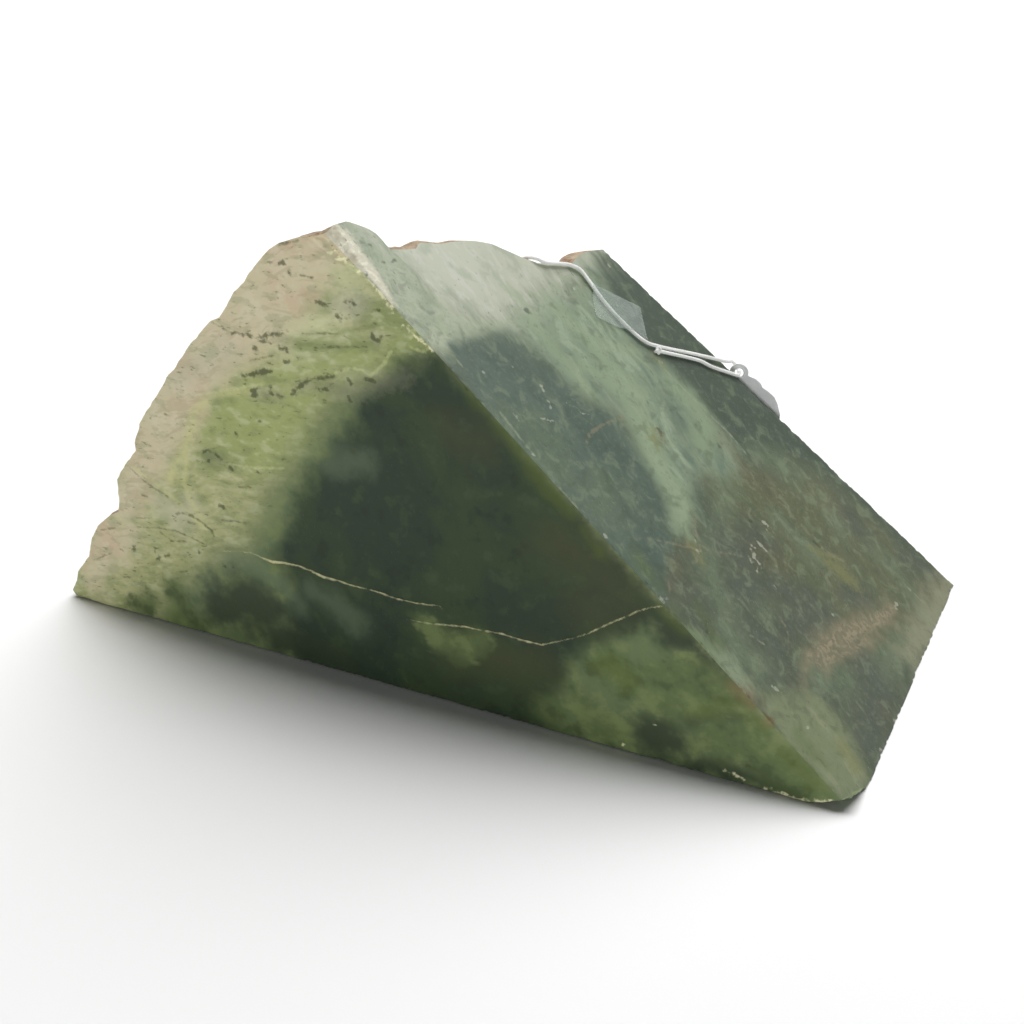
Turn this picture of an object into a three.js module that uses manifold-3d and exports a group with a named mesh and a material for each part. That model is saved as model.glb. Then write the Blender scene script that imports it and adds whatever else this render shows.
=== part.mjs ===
// A block of nephrite sawn from a waterworn boulder, with the string tag that is taped to it.
// Millimetres, +Z up. The block is drawn from the low front left corner of its box, with X
// along the sawn front face and Y going back, and is then moved so that the origin is the
// middle of its base.
import * as THREE from "three";
import { ConvexGeometry } from "three/addons/geometries/ConvexGeometry.js";
import { mergeVertices } from "three/addons/utils/BufferGeometryUtils.js";
import Module from "manifold-3d";

const wasm = await Module();
wasm.setup();

// Saw cuts: the slanted face rises from its toe line at the right to the ridge at the top left
const DEPTH = 126;
const RIDGE_HEIGHT = 131;
const TOE_FRONT = new THREE.Vector3(247, 0, 0);
const TOE_BACK = new THREE.Vector3(245, DEPTH, 0);
const RIDGE_TOP = new THREE.Vector3(99.6, 0, RIDGE_HEIGHT);
const BACK_TURN = THREE.MathUtils.degToRad(11.8);

// Where the sawn front face ends at the natural rind, from the foot to the ridge: [x, z]
const RIND_OUTLINE = [
  [1.6, 0], [0, 2], [2.3, 6], [3.3, 9.2], [8.5, 16], [10.8, 23], [13.7, 27.5], [18, 31.6],
  [22.6, 34.6], [23.2, 39], [23.4, 45.3], [28.4, 52.5], [31.8, 56.2], [32.3, 60], [34.4, 65],
  [37.8, 70], [45.4, 80.3], [52, 88.8], [55.9, 93.4], [62.3, 100.3], [65.5, 102.2],
  [68.4, 105.7], [70.9, 110], [74.3, 113], [76.3, 116], [82.9, 123.1], [86.4, 125.4],
  [90.1, 126.9], [95.5, 128.4], [RIDGE_TOP.x, RIDGE_HEIGHT],
];

// The rind's upper edge, going back: [y, x, how far it lies under the plane of the slanted cut]
const CREST = [
  [0, RIDGE_TOP.x, 0], [10, 100.4, 0], [15, 103.5, 0], [18.5, 108, 0.5], [24, 107, 3],
  [27.6, 107.8, 3], [31, 107.3, 2.8], [37.5, 110.2, 2.4], [42, 111.3, 2], [50, 114, 1.6],
  [56, 117.6, 0.8], [63, 124, 0], [67.5, 127, 0], [82, 132.2, 0], [93, 132.6, 0],
  [102, 133, 0], [130, 141, 0],
];

// The rind's foot moves right going back, as on a rounded boulder: drift at a depth, and power
const FOOT_DRIFT = 42;
const FOOT_DRIFT_DEPTH = 80;
const FOOT_DRIFT_POWER = 1.7;

// Its flank swells, and loses the front outline's shape, over these depths
const FLANK_BELLY = 9;
const FLANK_DEPTH = 55;
const OUTLINE_LOSS = 0.7;
const RELIEF_START_DEPTH = 16;

// Brow of old rind that stays level beside the slanted cut near its back corner
const BROW_LIFT = 5.5;
const BROW_RISE = 0.95;
const BROW_RISE_SPREAD = 0.05;
const BROW_DEPTH = 91;
const BROW_DEPTH_SPREAD = 15;

// Lumps of the rind: [wavelength, height, slope of the wave in the flank, phase]
const LUMP_WAVES = [
  [58, 2.1, 0.35, 0.3], [37, 1.6, 1.25, 1.1], [29, 1.3, -0.8, 2.9], [19, 1.0, 0.1, 4.2],
  [15, 0.8, 2.2, 5.3], [12, 0.6, -0.3, 0.8], [10, 0.5, 0.9, 3.7],
];
const PIT_CENTRES = [
  [14, 34, 58], [40, 52, 92], [26, 60, 30], [58, 44, 112], [22, 22, 14], [70, 66, 104],
];
const PIT_RADIUS = 9;
const PIT_DEPTH = 2.2;

// Meshing of the loft
const ROW_STEP = 4.2;
const COLUMN_STEP = 4;
const OVERSHOOT = 12;
const ROOF_OVERSHOOT = 3.6;

// Floor of the shallow hollow that the slanted cut missed, behind a step, with the step's two
// ends first: [x, y, how far over the plane of the slanted cut]
const HOLLOW_FLOOR = [
  [101, 17, -3.2], [122, 18.5, -0.32], [127, 30, 0.1], [116, 60, 0.1], [91, 60, -1.92],
];
const HOLLOW_HEIGHT = 36;

// Chips on the sawn edges: [x, y, z, length, width, height, turn about Y]
const CHIP_ROUGHNESS = 0.02;
const CHIPS = [
  [192.7, -1.2, 49.6, 6, 3, 3, 0.725],
  [214.5, -1, 30.8, 4, 2.6, 2.4, 0.725],
  [222.5, -1, 23.6, 4.5, 2.6, 2.6, 0.725],
  [149, -0.8, 88.9, 4, 2, 2, 0.725],
  [168, -0.8, 72.2, 3.5, 1.8, 1.8, 0.725],
  [214.5, 120.5, 30, 5, 3, 3, 0.725],
  [247.6, 116, 0.5, 3.5, 5, 3, 0],
];

// Corners knocked off flat, each by three points of the break: [x, y, z]
const BREAKS = [
  [[235.7, 0, 0], [246.4, 13, 0], [243.5, 0, 3.6]],
  [[94, 0, 128.2], [113.5, 0, 118.4], [101, 4.5, 129.7]],
];
const BREAK_REACH = 30;
const MIDST = new THREE.Vector3(120, 60, 30);
const MERGE_DISTANCE = 1e-4;

// String: its knotted end on the rind, over the crest, under the tape, over the sawn back edge,
// round through the tag's eye, and back beside itself to the tape
const STRING_DIAMETER = 1.1;
const STRING_SIDES = 8;
const STRING_STEPS = 78;
const STRING_ROUTE = [
  [97.6, 66.9, 86.5], [99.5, 66.9, 88.7], [101.4, 66.9, 90.5], [105, 66.9, 92.9],
  [111.9, 66.7, 98.9], [118.3, 66.2, 104], [121.6, 65.9, 106.2], [124.6, 66.1, 107.5],
  [126.9, 67, 107.2], [128.3, 69, 105.8], [130.6, 76, 103.6], [132.1, 79.7, 102.2],
  [133.9, 81.6, 100.6],
  [136.6, 81.2, 98.2], [140, 80.1, 95.2], [143.8, 79.4, 91.8], [148.4, 79.4, 87.8],
  [152.5, 80.4, 84.1], [155.4, 81.9, 81.6], [157.3, 85.1, 79.8], [159.3, 89.1, 77.9],
  [163.7, 98.1, 73.9], [168.4, 107.1, 69.7], [170.2, 110.3, 68.2], [171, 112.4, 67.5],
  [171.1, 114.1, 67], [172, 115.1, 65.8], [173.2, 114.7, 64.5], [174, 113.2, 64],
  [174.4, 110.5, 64.3], [172.8, 108.1, 65.6], [168.7, 101.8, 69.3], [166.3, 99.2, 71.5],
  [164.1, 95.4, 73.5], [160.1, 87.2, 77.3], [158.2, 83.6, 79],
];

// Tape: a torn-off strip pressed down round the string, with its middle in plan
const TAPE_MIDDLE = [145.6, 83.1];
const TAPE_LENGTH = 19.2;
const TAPE_WIDTH = 14.2;
const TAPE_THICKNESS = 0.2;
const TAPE_TURN = THREE.MathUtils.degToRad(50.4);
const TAPE_GRID = 1.5;
const TAPE_LIFT = 0.35;
const TENT_HEIGHT = 1.8;
const TENT_SPREAD = 2.4;
const TENT_SAMPLES = 300;

// Tag: measured from its eye, half its outline from the top of the head to the foot: [u, v]
const TAG_EYE = [174.44, 64.1];
const TAG_STAND_OFF = 2;
const TAG_THICKNESS = 0.6;
const EYE_RADIUS = 1.4;
const HEAD_RADIUS = 2.9;
const HEAD_START = 1.08 * Math.PI;
const TAG_SHOULDER = [
  [5.3, -1.6], [6.8, -2.9], [7.5, -4.2], [9.5, -5.4], [11.4, -7.1], [12.4, -9.1], [12.9, -10.7],
  [13.5, -12.9], [13.5, -35], [11, -38],
];

const COLOURS = {
  stone: "#59694f",
  tape: "#a9b5ab",
  string: "#e9ede6",
  tag: "#b7b7b8",
};

// Value of a table of [position, value, ...] rows at a position, by straight lines between rows
function tableAt(table, position, column) {
  if (position <= table[0][0]) return table[0][column];
  for (let i = 1; i < table.length; i++) {
    if (position <= table[i][0]) {
      const share = (position - table[i - 1][0]) / (table[i][0] - table[i - 1][0]);
      return THREE.MathUtils.lerp(table[i - 1][column], table[i][column], share);
    }
  }
  return table[table.length - 1][column];
}

// The plane of the slanted cut, with its normal pointing out of the stone
const slantPlane = new THREE.Plane().setFromCoplanarPoints(TOE_FRONT, TOE_BACK, RIDGE_TOP);

// Height of the slanted cut above a place in plan
function slantHeight(x, y) {
  return -(slantPlane.constant + slantPlane.normal.x * x + slantPlane.normal.y * y) / slantPlane.normal.z;
}

// A point that lies over a place in plan, at a distance from the slanted cut
function onSlant(x, y, lift = 0) {
  const point = new THREE.Vector3(x, y, slantHeight(x, y));
  return point.addScaledVector(slantPlane.normal, lift);
}

// Depth of the sawn back at a place along the stone
function backDepth(x) {
  return DEPTH - (TOE_BACK.x - x) * Math.tan(BACK_TURN);
}

// The rind's outline again, with points no further apart than the step
function spacedOutline(step) {
  const spaced = [];
  for (let i = 0; i < RIND_OUTLINE.length - 1; i++) {
    const a = new THREE.Vector2(...RIND_OUTLINE[i]);
    const b = new THREE.Vector2(...RIND_OUTLINE[i + 1]);
    const pieces = Math.ceil(a.distanceTo(b) / step);
    for (let k = 0; k < pieces; k++) spaced.push(a.clone().lerp(b, k / pieces));
  }
  spaced.push(new THREE.Vector2(...RIND_OUTLINE[RIND_OUTLINE.length - 1]));
  return spaced;
}

// How far the lumps and pits of the rind stand out at a point
function rindRelief(x, y, z) {
  let relief = 0;
  const up = 0.6 * x + 0.8 * z;
  for (const [wavelength, height, turn, phase] of LUMP_WAVES) {
    const along = y * Math.cos(turn) + up * Math.sin(turn);
    const across = up * Math.cos(turn) - y * Math.sin(turn);
    const bend = 0.9 * Math.sin((2 * Math.PI * across) / (1.7 * wavelength) + 2 * phase);
    relief += height * Math.sin((2 * Math.PI * along) / wavelength + phase + bend);
  }
  for (const centre of PIT_CENTRES) {
    const away = Math.hypot(y - centre[1], z - centre[2]) / PIT_RADIUS;
    relief -= PIT_DEPTH * Math.exp(-away * away);
  }
  return relief;
}

// One point of the rind: a point of the front outline, carried back to a depth
function rindPoint(outline, depth) {
  const y = Math.max(depth, 0);
  const rise = outline.y / RIDGE_HEIGHT;
  const crestX = tableAt(CREST, y, 1);
  const sunk = tableAt(CREST, y, 2) / slantPlane.normal.z;
  const crestZ = slantHeight(crestX, y) - sunk;
  const footX = FOOT_DRIFT * Math.pow(y / FOOT_DRIFT_DEPTH, FOOT_DRIFT_POWER);
  const offChord = outline.x - RIDGE_TOP.x * rise;
  const fromFront = THREE.MathUtils.smoothstep(y, 0, RELIEF_START_DEPTH);
  const deep = THREE.MathUtils.smoothstep(y, 0, FLANK_DEPTH);
  const middle = Math.sin(Math.PI * rise);
  const x = THREE.MathUtils.lerp(footX, crestX, rise) + offChord * (1 - OUTLINE_LOSS * deep);
  const upBrow = (rise - BROW_RISE) / BROW_RISE_SPREAD;
  const awayFromBrow = Math.hypot(upBrow, (y - BROW_DEPTH) / BROW_DEPTH_SPREAD);
  const z = crestZ * rise + BROW_LIFT * Math.exp(-awayFromBrow * awayFromBrow);
  const out = FLANK_BELLY * deep * middle + rindRelief(x, y, z) * fromFront * Math.sqrt(middle);
  return new THREE.Vector3(x - out, depth, z);
}

// One section of the boulder: rind from foot to crest, then round the outside of the cuts
function boulderRow(outline, depth) {
  const rind = outline.map((point) => rindPoint(point, depth));
  const foot = rind[0];
  const crest = rind[rind.length - 1];
  const far = TOE_FRONT.x + OVERSHOOT;
  return [
    new THREE.Vector3(far, depth, -OVERSHOOT),
    new THREE.Vector3(foot.x, depth, -OVERSHOOT),
    ...rind,
    new THREE.Vector3(crest.x + OVERSHOOT, depth, crest.z + ROOF_OVERSHOOT),
    new THREE.Vector3(far, depth, crest.z + ROOF_OVERSHOOT),
  ];
}

// The uncut boulder as one closed loft, with flat ends
function boulder() {
  const outline = spacedOutline(COLUMN_STEP);
  const rows = [];
  const first = -OVERSHOOT;
  const count = Math.ceil((DEPTH + 2 * OVERSHOOT) / ROW_STEP);
  for (let i = 0; i <= count; i++) rows.push(boulderRow(outline, first + i * ROW_STEP));
  const width = rows[0].length;
  const positions = rows.flat().flatMap((point) => point.toArray());
  const index = [];
  for (let i = 0; i < count; i++) {
    for (let j = 0; j < width; j++) {
      const a = i * width + j;
      const b = i * width + ((j + 1) % width);
      index.push(a, b, a + width, b, b + width, a + width);
    }
  }
  for (const [row, flip] of [[0, false], [count, true]]) {
    const contour = rows[row].map((point) => new THREE.Vector2(point.x, point.z));
    for (const face of THREE.ShapeUtils.triangulateShape(contour, [])) {
      const [a, b, c] = face.map((k) => k + row * width);
      index.push(...(flip ? [a, c, b] : [a, b, c]));
    }
  }
  const geometry = new THREE.BufferGeometry();
  geometry.setAttribute("position", new THREE.Float32BufferAttribute(positions, 3));
  geometry.setIndex(index);
  return geometry;
}

// What the four saw cuts leave: a wedge that runs out to the left past the rind
function sawnWedge() {
  const left = -2 * OVERSHOOT;
  return new ConvexGeometry([
    new THREE.Vector3(left, 0, 0),
    new THREE.Vector3(left, 0, slantHeight(left, 0)),
    TOE_FRONT,
    new THREE.Vector3(left, backDepth(left), 0),
    new THREE.Vector3(left, backDepth(left), slantHeight(left, backDepth(left))),
    TOE_BACK,
  ]);
}

// What is missing over the hollow, from its floor to above the slanted cut
function hollowCutter() {
  const floor = HOLLOW_FLOOR.map((corner) => onSlant(...corner));
  const roof = HOLLOW_FLOOR.map(([x, y]) => onSlant(x, y, HOLLOW_HEIGHT));
  return new ConvexGeometry([...floor, ...roof]);
}

// A rough-faced lump that bites one chip out of an edge
function chipCutter([x, y, z, length, width, height, turn], number) {
  const lump = new THREE.IcosahedronGeometry(1, 1);
  const at = lump.getAttribute("position");
  for (let i = 0; i < at.count; i++) {
    const point = new THREE.Vector3().fromBufferAttribute(at, i);
    const rough = Math.sin(5 * point.x + number) + Math.sin(6 * point.y) + Math.sin(7 * point.z);
    point.multiplyScalar(1 + CHIP_ROUGHNESS * rough);
    at.setXYZ(i, point.x, point.y, point.z);
  }
  lump.scale(length / 2, width / 2, height / 2);
  lump.rotateY(turn);
  lump.translate(x, y, z);
  return lump;
}

// A flat-faced wedge that takes off all that stands out past a break
function breakCutter(corners) {
  const points = corners.map((corner) => new THREE.Vector3(...corner));
  const centre = new THREE.Triangle(...points).getMidpoint(new THREE.Vector3());
  const out = new THREE.Triangle(...points).getNormal(new THREE.Vector3());
  if (out.dot(MIDST.clone().sub(centre)) > 0) out.negate();
  const base = points.map((point) => point.sub(centre).multiplyScalar(2).add(centre));
  return new ConvexGeometry([...base, centre.clone().addScaledVector(out, BREAK_REACH)]);
}

// A closed geometry as a solid that can be joined and cut
function solid(geometry) {
  const bare = geometry.clone();
  bare.deleteAttribute("normal");
  bare.deleteAttribute("uv");
  const merged = mergeVertices(bare, MERGE_DISTANCE);
  const vertProperties = new Float32Array(merged.getAttribute("position").array);
  const triVerts = new Uint32Array(merged.getIndex().array);
  return new wasm.Manifold(new wasm.Mesh({ numProp: 3, vertProperties, triVerts }));
}

// A solid as a geometry again
function geometryOf(shape) {
  const mesh = shape.getMesh();
  const geometry = new THREE.BufferGeometry();
  geometry.setAttribute("position", new THREE.BufferAttribute(mesh.vertProperties, 3));
  geometry.setIndex(new THREE.BufferAttribute(mesh.triVerts, 1));
  return geometry;
}

// The string's centreline
const stringCurve = new THREE.CatmullRomCurve3(
  STRING_ROUTE.map((point) => new THREE.Vector3(...point)),
  false,
  "centripetal",
);

// The string as a plain tube
function stringGeometry() {
  const section = new THREE.Shape();
  for (let i = 0; i < STRING_SIDES; i++) {
    const turn = (2 * Math.PI * i) / STRING_SIDES;
    const x = (STRING_DIAMETER / 2) * Math.cos(turn);
    const y = (STRING_DIAMETER / 2) * Math.sin(turn);
    if (i === 0) section.moveTo(x, y);
    else section.lineTo(x, y);
  }
  return new THREE.ExtrudeGeometry(section, {
    steps: STRING_STEPS,
    extrudePath: stringCurve,
    bevelEnabled: false,
  });
}

// How high the tape's underside stands over the slanted cut at a point of the cut
function tentHeight(point, stringPoints) {
  const away = Math.min(...stringPoints.map((near) => near.distanceTo(point)));
  return TAPE_LIFT + TENT_HEIGHT * Math.exp(-((away / TENT_SPREAD) ** 2));
}

// The tape: a thin sheet on a grid, lifted where it passes over the string
function tapeGeometry() {
  const level = TOE_BACK.clone().sub(TOE_FRONT).normalize();
  const down = level.clone().cross(slantPlane.normal).normalize();
  const long = level.clone().multiplyScalar(Math.cos(TAPE_TURN));
  long.addScaledVector(down, Math.sin(TAPE_TURN));
  const across = slantPlane.normal.clone().cross(long);
  const onCut = stringCurve.getSpacedPoints(TENT_SAMPLES).map((point) => {
    return slantPlane.projectPoint(point, new THREE.Vector3());
  });
  const columns = Math.round(TAPE_LENGTH / TAPE_GRID);
  const rows = Math.round(TAPE_WIDTH / TAPE_GRID);
  const sheet = new THREE.BoxGeometry(TAPE_LENGTH, TAPE_WIDTH, 1, columns, rows, 1);
  const at = sheet.getAttribute("position");
  for (let i = 0; i < at.count; i++) {
    const point = onSlant(...TAPE_MIDDLE);
    point.addScaledVector(long, at.getX(i)).addScaledVector(across, at.getY(i));
    const lift = tentHeight(point, onCut) + (at.getZ(i) > 0 ? TAPE_THICKNESS : 0);
    point.addScaledVector(slantPlane.normal, lift);
    at.setXYZ(i, point.x, point.y, point.z);
  }
  return sheet;
}

// The tag: a flat plate with a round head, an eye in it and soft shoulders
function tagGeometry() {
  const outline = new THREE.Shape();
  const corners = TAG_SHOULDER.length;
  outline.moveTo(-TAG_SHOULDER[corners - 1][0], TAG_SHOULDER[corners - 1][1]);
  for (let i = corners - 2; i >= 0; i--) outline.lineTo(-TAG_SHOULDER[i][0], TAG_SHOULDER[i][1]);
  outline.absarc(0, 0, HEAD_RADIUS, HEAD_START, Math.PI - HEAD_START, true);
  for (const [u, v] of TAG_SHOULDER) outline.lineTo(u, v);
  outline.closePath();
  const eye = new THREE.Path();
  eye.absarc(0, 0, EYE_RADIUS, 0, 2 * Math.PI);
  outline.holes.push(eye);
  const plate = new THREE.ExtrudeGeometry(outline, {
    depth: TAG_THICKNESS,
    curveSegments: 8,
    bevelEnabled: false,
  });
  return plate.translate(0, 0, -TAG_THICKNESS / 2);
}

// The stone: the boulder, less what the saw and the knocks took off
function stoneGeometry() {
  let stone = solid(boulder()).intersect(solid(sawnWedge()));
  stone = stone.subtract(solid(hollowCutter()));
  CHIPS.forEach((chip, number) => {
    stone = stone.subtract(solid(chipCutter(chip, number)));
  });
  for (const corners of BREAKS) stone = stone.subtract(solid(breakCutter(corners)));
  return geometryOf(stone);
}

const group = new THREE.Group();
const stone = stoneGeometry();
stone.computeBoundingBox();
const middle = stone.boundingBox.getCenter(new THREE.Vector3());

// Adds a named mesh, moved so that the middle of the stone's base is the origin
function add(name, geometry, material) {
  const mesh = new THREE.Mesh(geometry, new THREE.MeshStandardMaterial(material));
  mesh.name = name;
  mesh.position.set(-middle.x, -middle.y, 0);
  group.add(mesh);
  return mesh;
}

add("nephrite_block", stone, { color: COLOURS.stone, roughness: 0.45, metalness: 0 });
add("tape_strip", tapeGeometry(), { color: COLOURS.tape, roughness: 0.55, metalness: 0 });
add("tag_string", stringGeometry(), { color: COLOURS.string, roughness: 0.8, metalness: 0 });

// The tag hangs upright, a little way behind the sawn back
const tag = add("swing_tag", tagGeometry(), { color: COLOURS.tag, roughness: 0.7, metalness: 0 });
const [eyeX, eyeZ] = TAG_EYE;
const away = new THREE.Vector3(-Math.sin(BACK_TURN), Math.cos(BACK_TURN), 0).multiplyScalar(TAG_STAND_OFF);
tag.rotation.set(Math.PI / 2, 0, BACK_TURN, "ZYX");
tag.position.add(new THREE.Vector3(eyeX, backDepth(eyeX), eyeZ).add(away));

export default group;
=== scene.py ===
import math

import bmesh
import bpy
import numpy as np
from mathutils import Matrix, Vector, noise
from mathutils.geometry import delaunay_2d_cdt


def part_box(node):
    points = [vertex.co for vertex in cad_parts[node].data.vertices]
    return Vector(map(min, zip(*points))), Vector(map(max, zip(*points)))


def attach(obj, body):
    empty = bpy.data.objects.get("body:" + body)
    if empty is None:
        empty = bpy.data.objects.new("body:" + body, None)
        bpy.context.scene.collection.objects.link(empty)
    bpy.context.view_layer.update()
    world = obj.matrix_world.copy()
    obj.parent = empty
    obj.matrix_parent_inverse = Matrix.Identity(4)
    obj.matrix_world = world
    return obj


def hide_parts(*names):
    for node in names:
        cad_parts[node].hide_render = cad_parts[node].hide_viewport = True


MM = 0.001
SEED = 7

# Camera, placed from the stone's corner in millimetres, and the photograph's frame in pixels
CAMERA_PLACE = (304.4, -314.2, 245.6)
CAMERA_AZIMUTH = math.radians(25.93)
CAMERA_PITCH = math.radians(27.5)
PHOTO_SIZE = 1024
FOCAL_PIXELS = 1550
SENSOR_WIDTH = 36

# Saw cuts
DEPTH = 126
RIDGE_HEIGHT = 131
TOE_FRONT = np.array([247.0, 0, 0])
TOE_BACK = np.array([245.0, DEPTH, 0])
RIDGE_TOP = np.array([99.6, 0, RIDGE_HEIGHT])
BACK_TURN = math.radians(11.8)

# Where the back cut meets the rind, at the top [x, y] and at its foot
BACK_CORNER = (133.0, 102.5)
BACK_FOOT = np.array([45.0, 84.2, 0])

# Where the sawn front face ends at the natural rind, from the foot to the ridge: [x, z]
RIND_OUTLINE = [
    (1.6, 0), (0, 2), (2.3, 6), (3.3, 9.2), (8.5, 16), (10.8, 23), (13.7, 27.5), (18, 31.6),
    (22.6, 34.6), (23.2, 39), (23.4, 45.3), (28.4, 52.5), (31.8, 56.2), (32.3, 60), (34.4, 65),
    (37.8, 70), (45.4, 80.3), (52, 88.8), (55.9, 93.4), (62.3, 100.3), (65.5, 102.2),
    (68.4, 105.7), (70.9, 110), (74.3, 113), (76.3, 116), (82.9, 123.1), (86.4, 125.4),
    (90.1, 126.9), (95.5, 128.4), (99.6, 131),
]

# The rind's upper edge, going back: [y, x, how far it lies under the plane of the slanted cut]
CREST = [
    (0, 99.6, 0), (10, 100.4, 0), (15, 103.5, 0), (18.5, 108, 0.5), (24, 107, 3),
    (27.6, 107.8, 3), (31, 107.3, 2.8), (37.5, 110.2, 2.4), (42, 111.3, 2), (50, 114, 1.6),
    (56, 117.6, 0.8), (63, 124, 0), (67.5, 127, 0), (82, 132.2, 0), (93, 132.6, 0),
    (102, 133, 0), (130, 141, 0),
]

# The rind's foot moves right going back, and its flank swells and loses the front's outline
FOOT_DRIFT = 42
FOOT_DRIFT_DEPTH = 80
FOOT_DRIFT_POWER = 1.7
FLANK_BELLY = 9
FLANK_DEPTH = 55
OUTLINE_LOSS = 0.7
RELIEF_START_DEPTH = 16

# Brow of old rind beside the slanted cut near its back corner
BROW_LIFT = 5.5
BROW_RISE = 0.95
BROW_RISE_SPREAD = 0.05
BROW_DEPTH = 91
BROW_DEPTH_SPREAD = 15

# Lumps of the rind: [wavelength, height, slope of the wave in the flank, phase], how the flank
# leans in X and Z, the bend of the waves and its length in wavelengths, and pits [y, z]
LUMP_WAVES = [
    (58, 2.1, 0.35, 0.3), (37, 1.6, 1.25, 1.1), (29, 1.3, -0.8, 2.9), (19, 1.0, 0.1, 4.2),
    (15, 0.8, 2.2, 5.3), (12, 0.6, -0.3, 0.8), (10, 0.5, 0.9, 3.7),
]
FLANK_LEAN = (0.6, 0.8)
LUMP_BEND = 0.9
LUMP_BEND_LENGTH = 1.7
PIT_CENTRES = [(34, 58), (52, 92), (60, 30), (44, 112), (22, 14), (66, 104)]
PIT_RADIUS = 9
PIT_DEPTH = 2.2

# Crumbly fine relief of the rind: [size, height], where it starts behind the front face, its
# least share at the front and at the crest, and how much of it goes upwards
CRUMBS = [(7.0, 0.75), (2.6, 0.4)]
CRUMB_START = 1.5
CRUMB_FRONT_SHARE = 0.5
CRUMB_CREST_SHARE = 0.35
CRUMB_RISE = 0.5

# Meshing: steps along the rind, how far it stops short of the back and runs past the cuts, steps
# over the sawn faces, the fine band along their edges and round their fine marks, how far grid
# points are moved about in steps, and the edge angle above which shading stays sharp
RIND_STEP = 0.95
RIND_BACK_MARGIN = 12
OVERSHOOT = 12
ROOF_OVERSHOOT = 3.6
ROOF_ROWS = 12
COARSE_STEP = 1.35
FINE_STEP = 0.55
FINE_BAND = 1.8
FINE_MARGIN = 0.9
HIDDEN_STEP = 4
JITTER = 0.12
SHARP_ANGLE = 38

# What counts as touching, when points are matched with a cut, cut off or joined into a face; and
# bounds that keep the sums quick and safe
TOUCH = 1e-3
CUT_TOUCH = 1e-4
FILL_TOUCH = 1e-6
PLATE_TOUCH = 1e-4
TINY = 1e-12
LEVEL_ENOUGH = 0.9
ZONE_MARGIN = 3
BLOCK_SIZE = 2000

# Hollow of old surface behind a step in the slanted cut: its left edge [y, x, depth], its right
# edge [y, x], the width, wander and slope of the step, the length over which it fades, and the
# ends of the step's line [x, y] with how far round it the mesh is fine
HOLLOW_LEFT = [(17, 101, 3.2), (60, 91, 1.92)]
HOLLOW_RIGHT = [(17, 121.5), (30, 127), (60, 116)]
STEP_WIDTH = 0.7
STEP_WANDER = 0.8
STEP_WANDER_SIZE = 6
STEP_SLOPE = 0.07
HOLLOW_FADE = 18
HOLLOW_SKIN = 5
STEP_EDGE = [(101, 17), (122, 18.5)]
STEP_EDGE_REACH = 2.5

# Chips on the sawn edges: [x, y, z, length, width, height, turn about Y], and their roughness
CHIPS = [
    (192.7, -1.2, 49.6, 6, 3, 3, 0.725), (214.5, -1, 30.8, 4, 2.6, 2.4, 0.725),
    (222.5, -1, 23.6, 4.5, 2.6, 2.6, 0.725), (149, -0.8, 88.9, 4, 2, 2, 0.725),
    (168, -0.8, 72.2, 3.5, 1.8, 1.8, 0.725), (214.5, 120.5, 30, 5, 3, 3, 0.725),
    (247.6, 116, 0.5, 3.5, 5, 3, 0),
]
CHIP_GRAIN = 1.1
CHIP_SHIFT = 9
CHIP_LEAST = 0.85
CHIP_SPREAD = 0.3

# Corners knocked off, by three points of each break, and the breaks' roughness
BREAKS = [
    [(235.7, 0, 0), (246.4, 13, 0), (243.5, 0, 3.6)],
    [(94, 0, 128.2), (113.5, 0, 118.4), (101, 4.5, 129.7)],
]
BREAK_REACH = 30
BREAK_ROUGHNESS = 0.5
BREAK_GRAIN = 2.5
BREAK_BIAS = 0.4
MIDST = np.array([120.0, 60, 30])

# Wear of the sawn edges: how far in it reaches, its depth, the sizes of its nicks, their mean and
# their swing at each size, the least and most of a nick, and the same for the nicks' reach; how
# near an edge a chip can bite, and the grooves of the cracks
WEAR_REACH = 1.1
WEAR_MARGIN = 1.6
WEAR_DEPTH = 0.55
WEAR_SIZES = (9.0, 1.7)
NICK_MEAN = 0.35
NICK_SWING = (0.9, 0.8)
NICK_RANGE = (0.12, 1.4)
NICK_REACH_RANGE = (0.4, 1.2)
EDGE_REACH = 6
CRACK_DEPTH = 0.22
CRACK_WIDTH = 0.5

# String: its route, from the knotted end on the rind to the end that lies back beside itself
STRING_DIAMETER = 1.1
STRING_RING_STEP = 0.32
STRING_CURVE_STEPS = 12
STRING_SIDES = 18
STRING_PLIES = 3
STRING_TWIST = 3.4
STRING_PLY_DEPTH = 0.11
STRING_ROUTE = [
    (97.6, 66.9, 86.5), (99.5, 66.9, 88.7), (101.4, 66.9, 90.5), (105, 66.9, 92.9),
    (111.9, 66.7, 98.9), (118.3, 66.2, 104), (121.6, 65.9, 106.2), (124.6, 66.1, 107.5),
    (126.9, 67, 107.2), (128.3, 69, 105.8), (130.6, 76, 103.6), (132.1, 79.7, 102.2),
    (133.9, 81.6, 100.6), (136.6, 81.2, 98.2), (140, 80.1, 95.2), (143.8, 79.4, 91.8),
    (148.4, 79.4, 87.8), (152.5, 80.4, 84.1), (155.4, 81.9, 81.6), (157.3, 85.1, 79.8),
    (159.3, 89.1, 77.9), (163.7, 98.1, 73.9), (168.4, 107.1, 69.7), (170.2, 110.3, 68.2),
    (171, 112.4, 67.5), (171.1, 114.1, 67), (172, 115.1, 65.8), (173.2, 114.7, 64.5),
    (174, 113.2, 64), (174.4, 110.5, 64.3), (172.8, 108.1, 65.6), (168.7, 101.8, 69.3),
    (166.3, 99.2, 71.5), (164.1, 95.4, 73.5), (160.1, 87.2, 77.3), (158.2, 83.6, 79),
]

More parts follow.
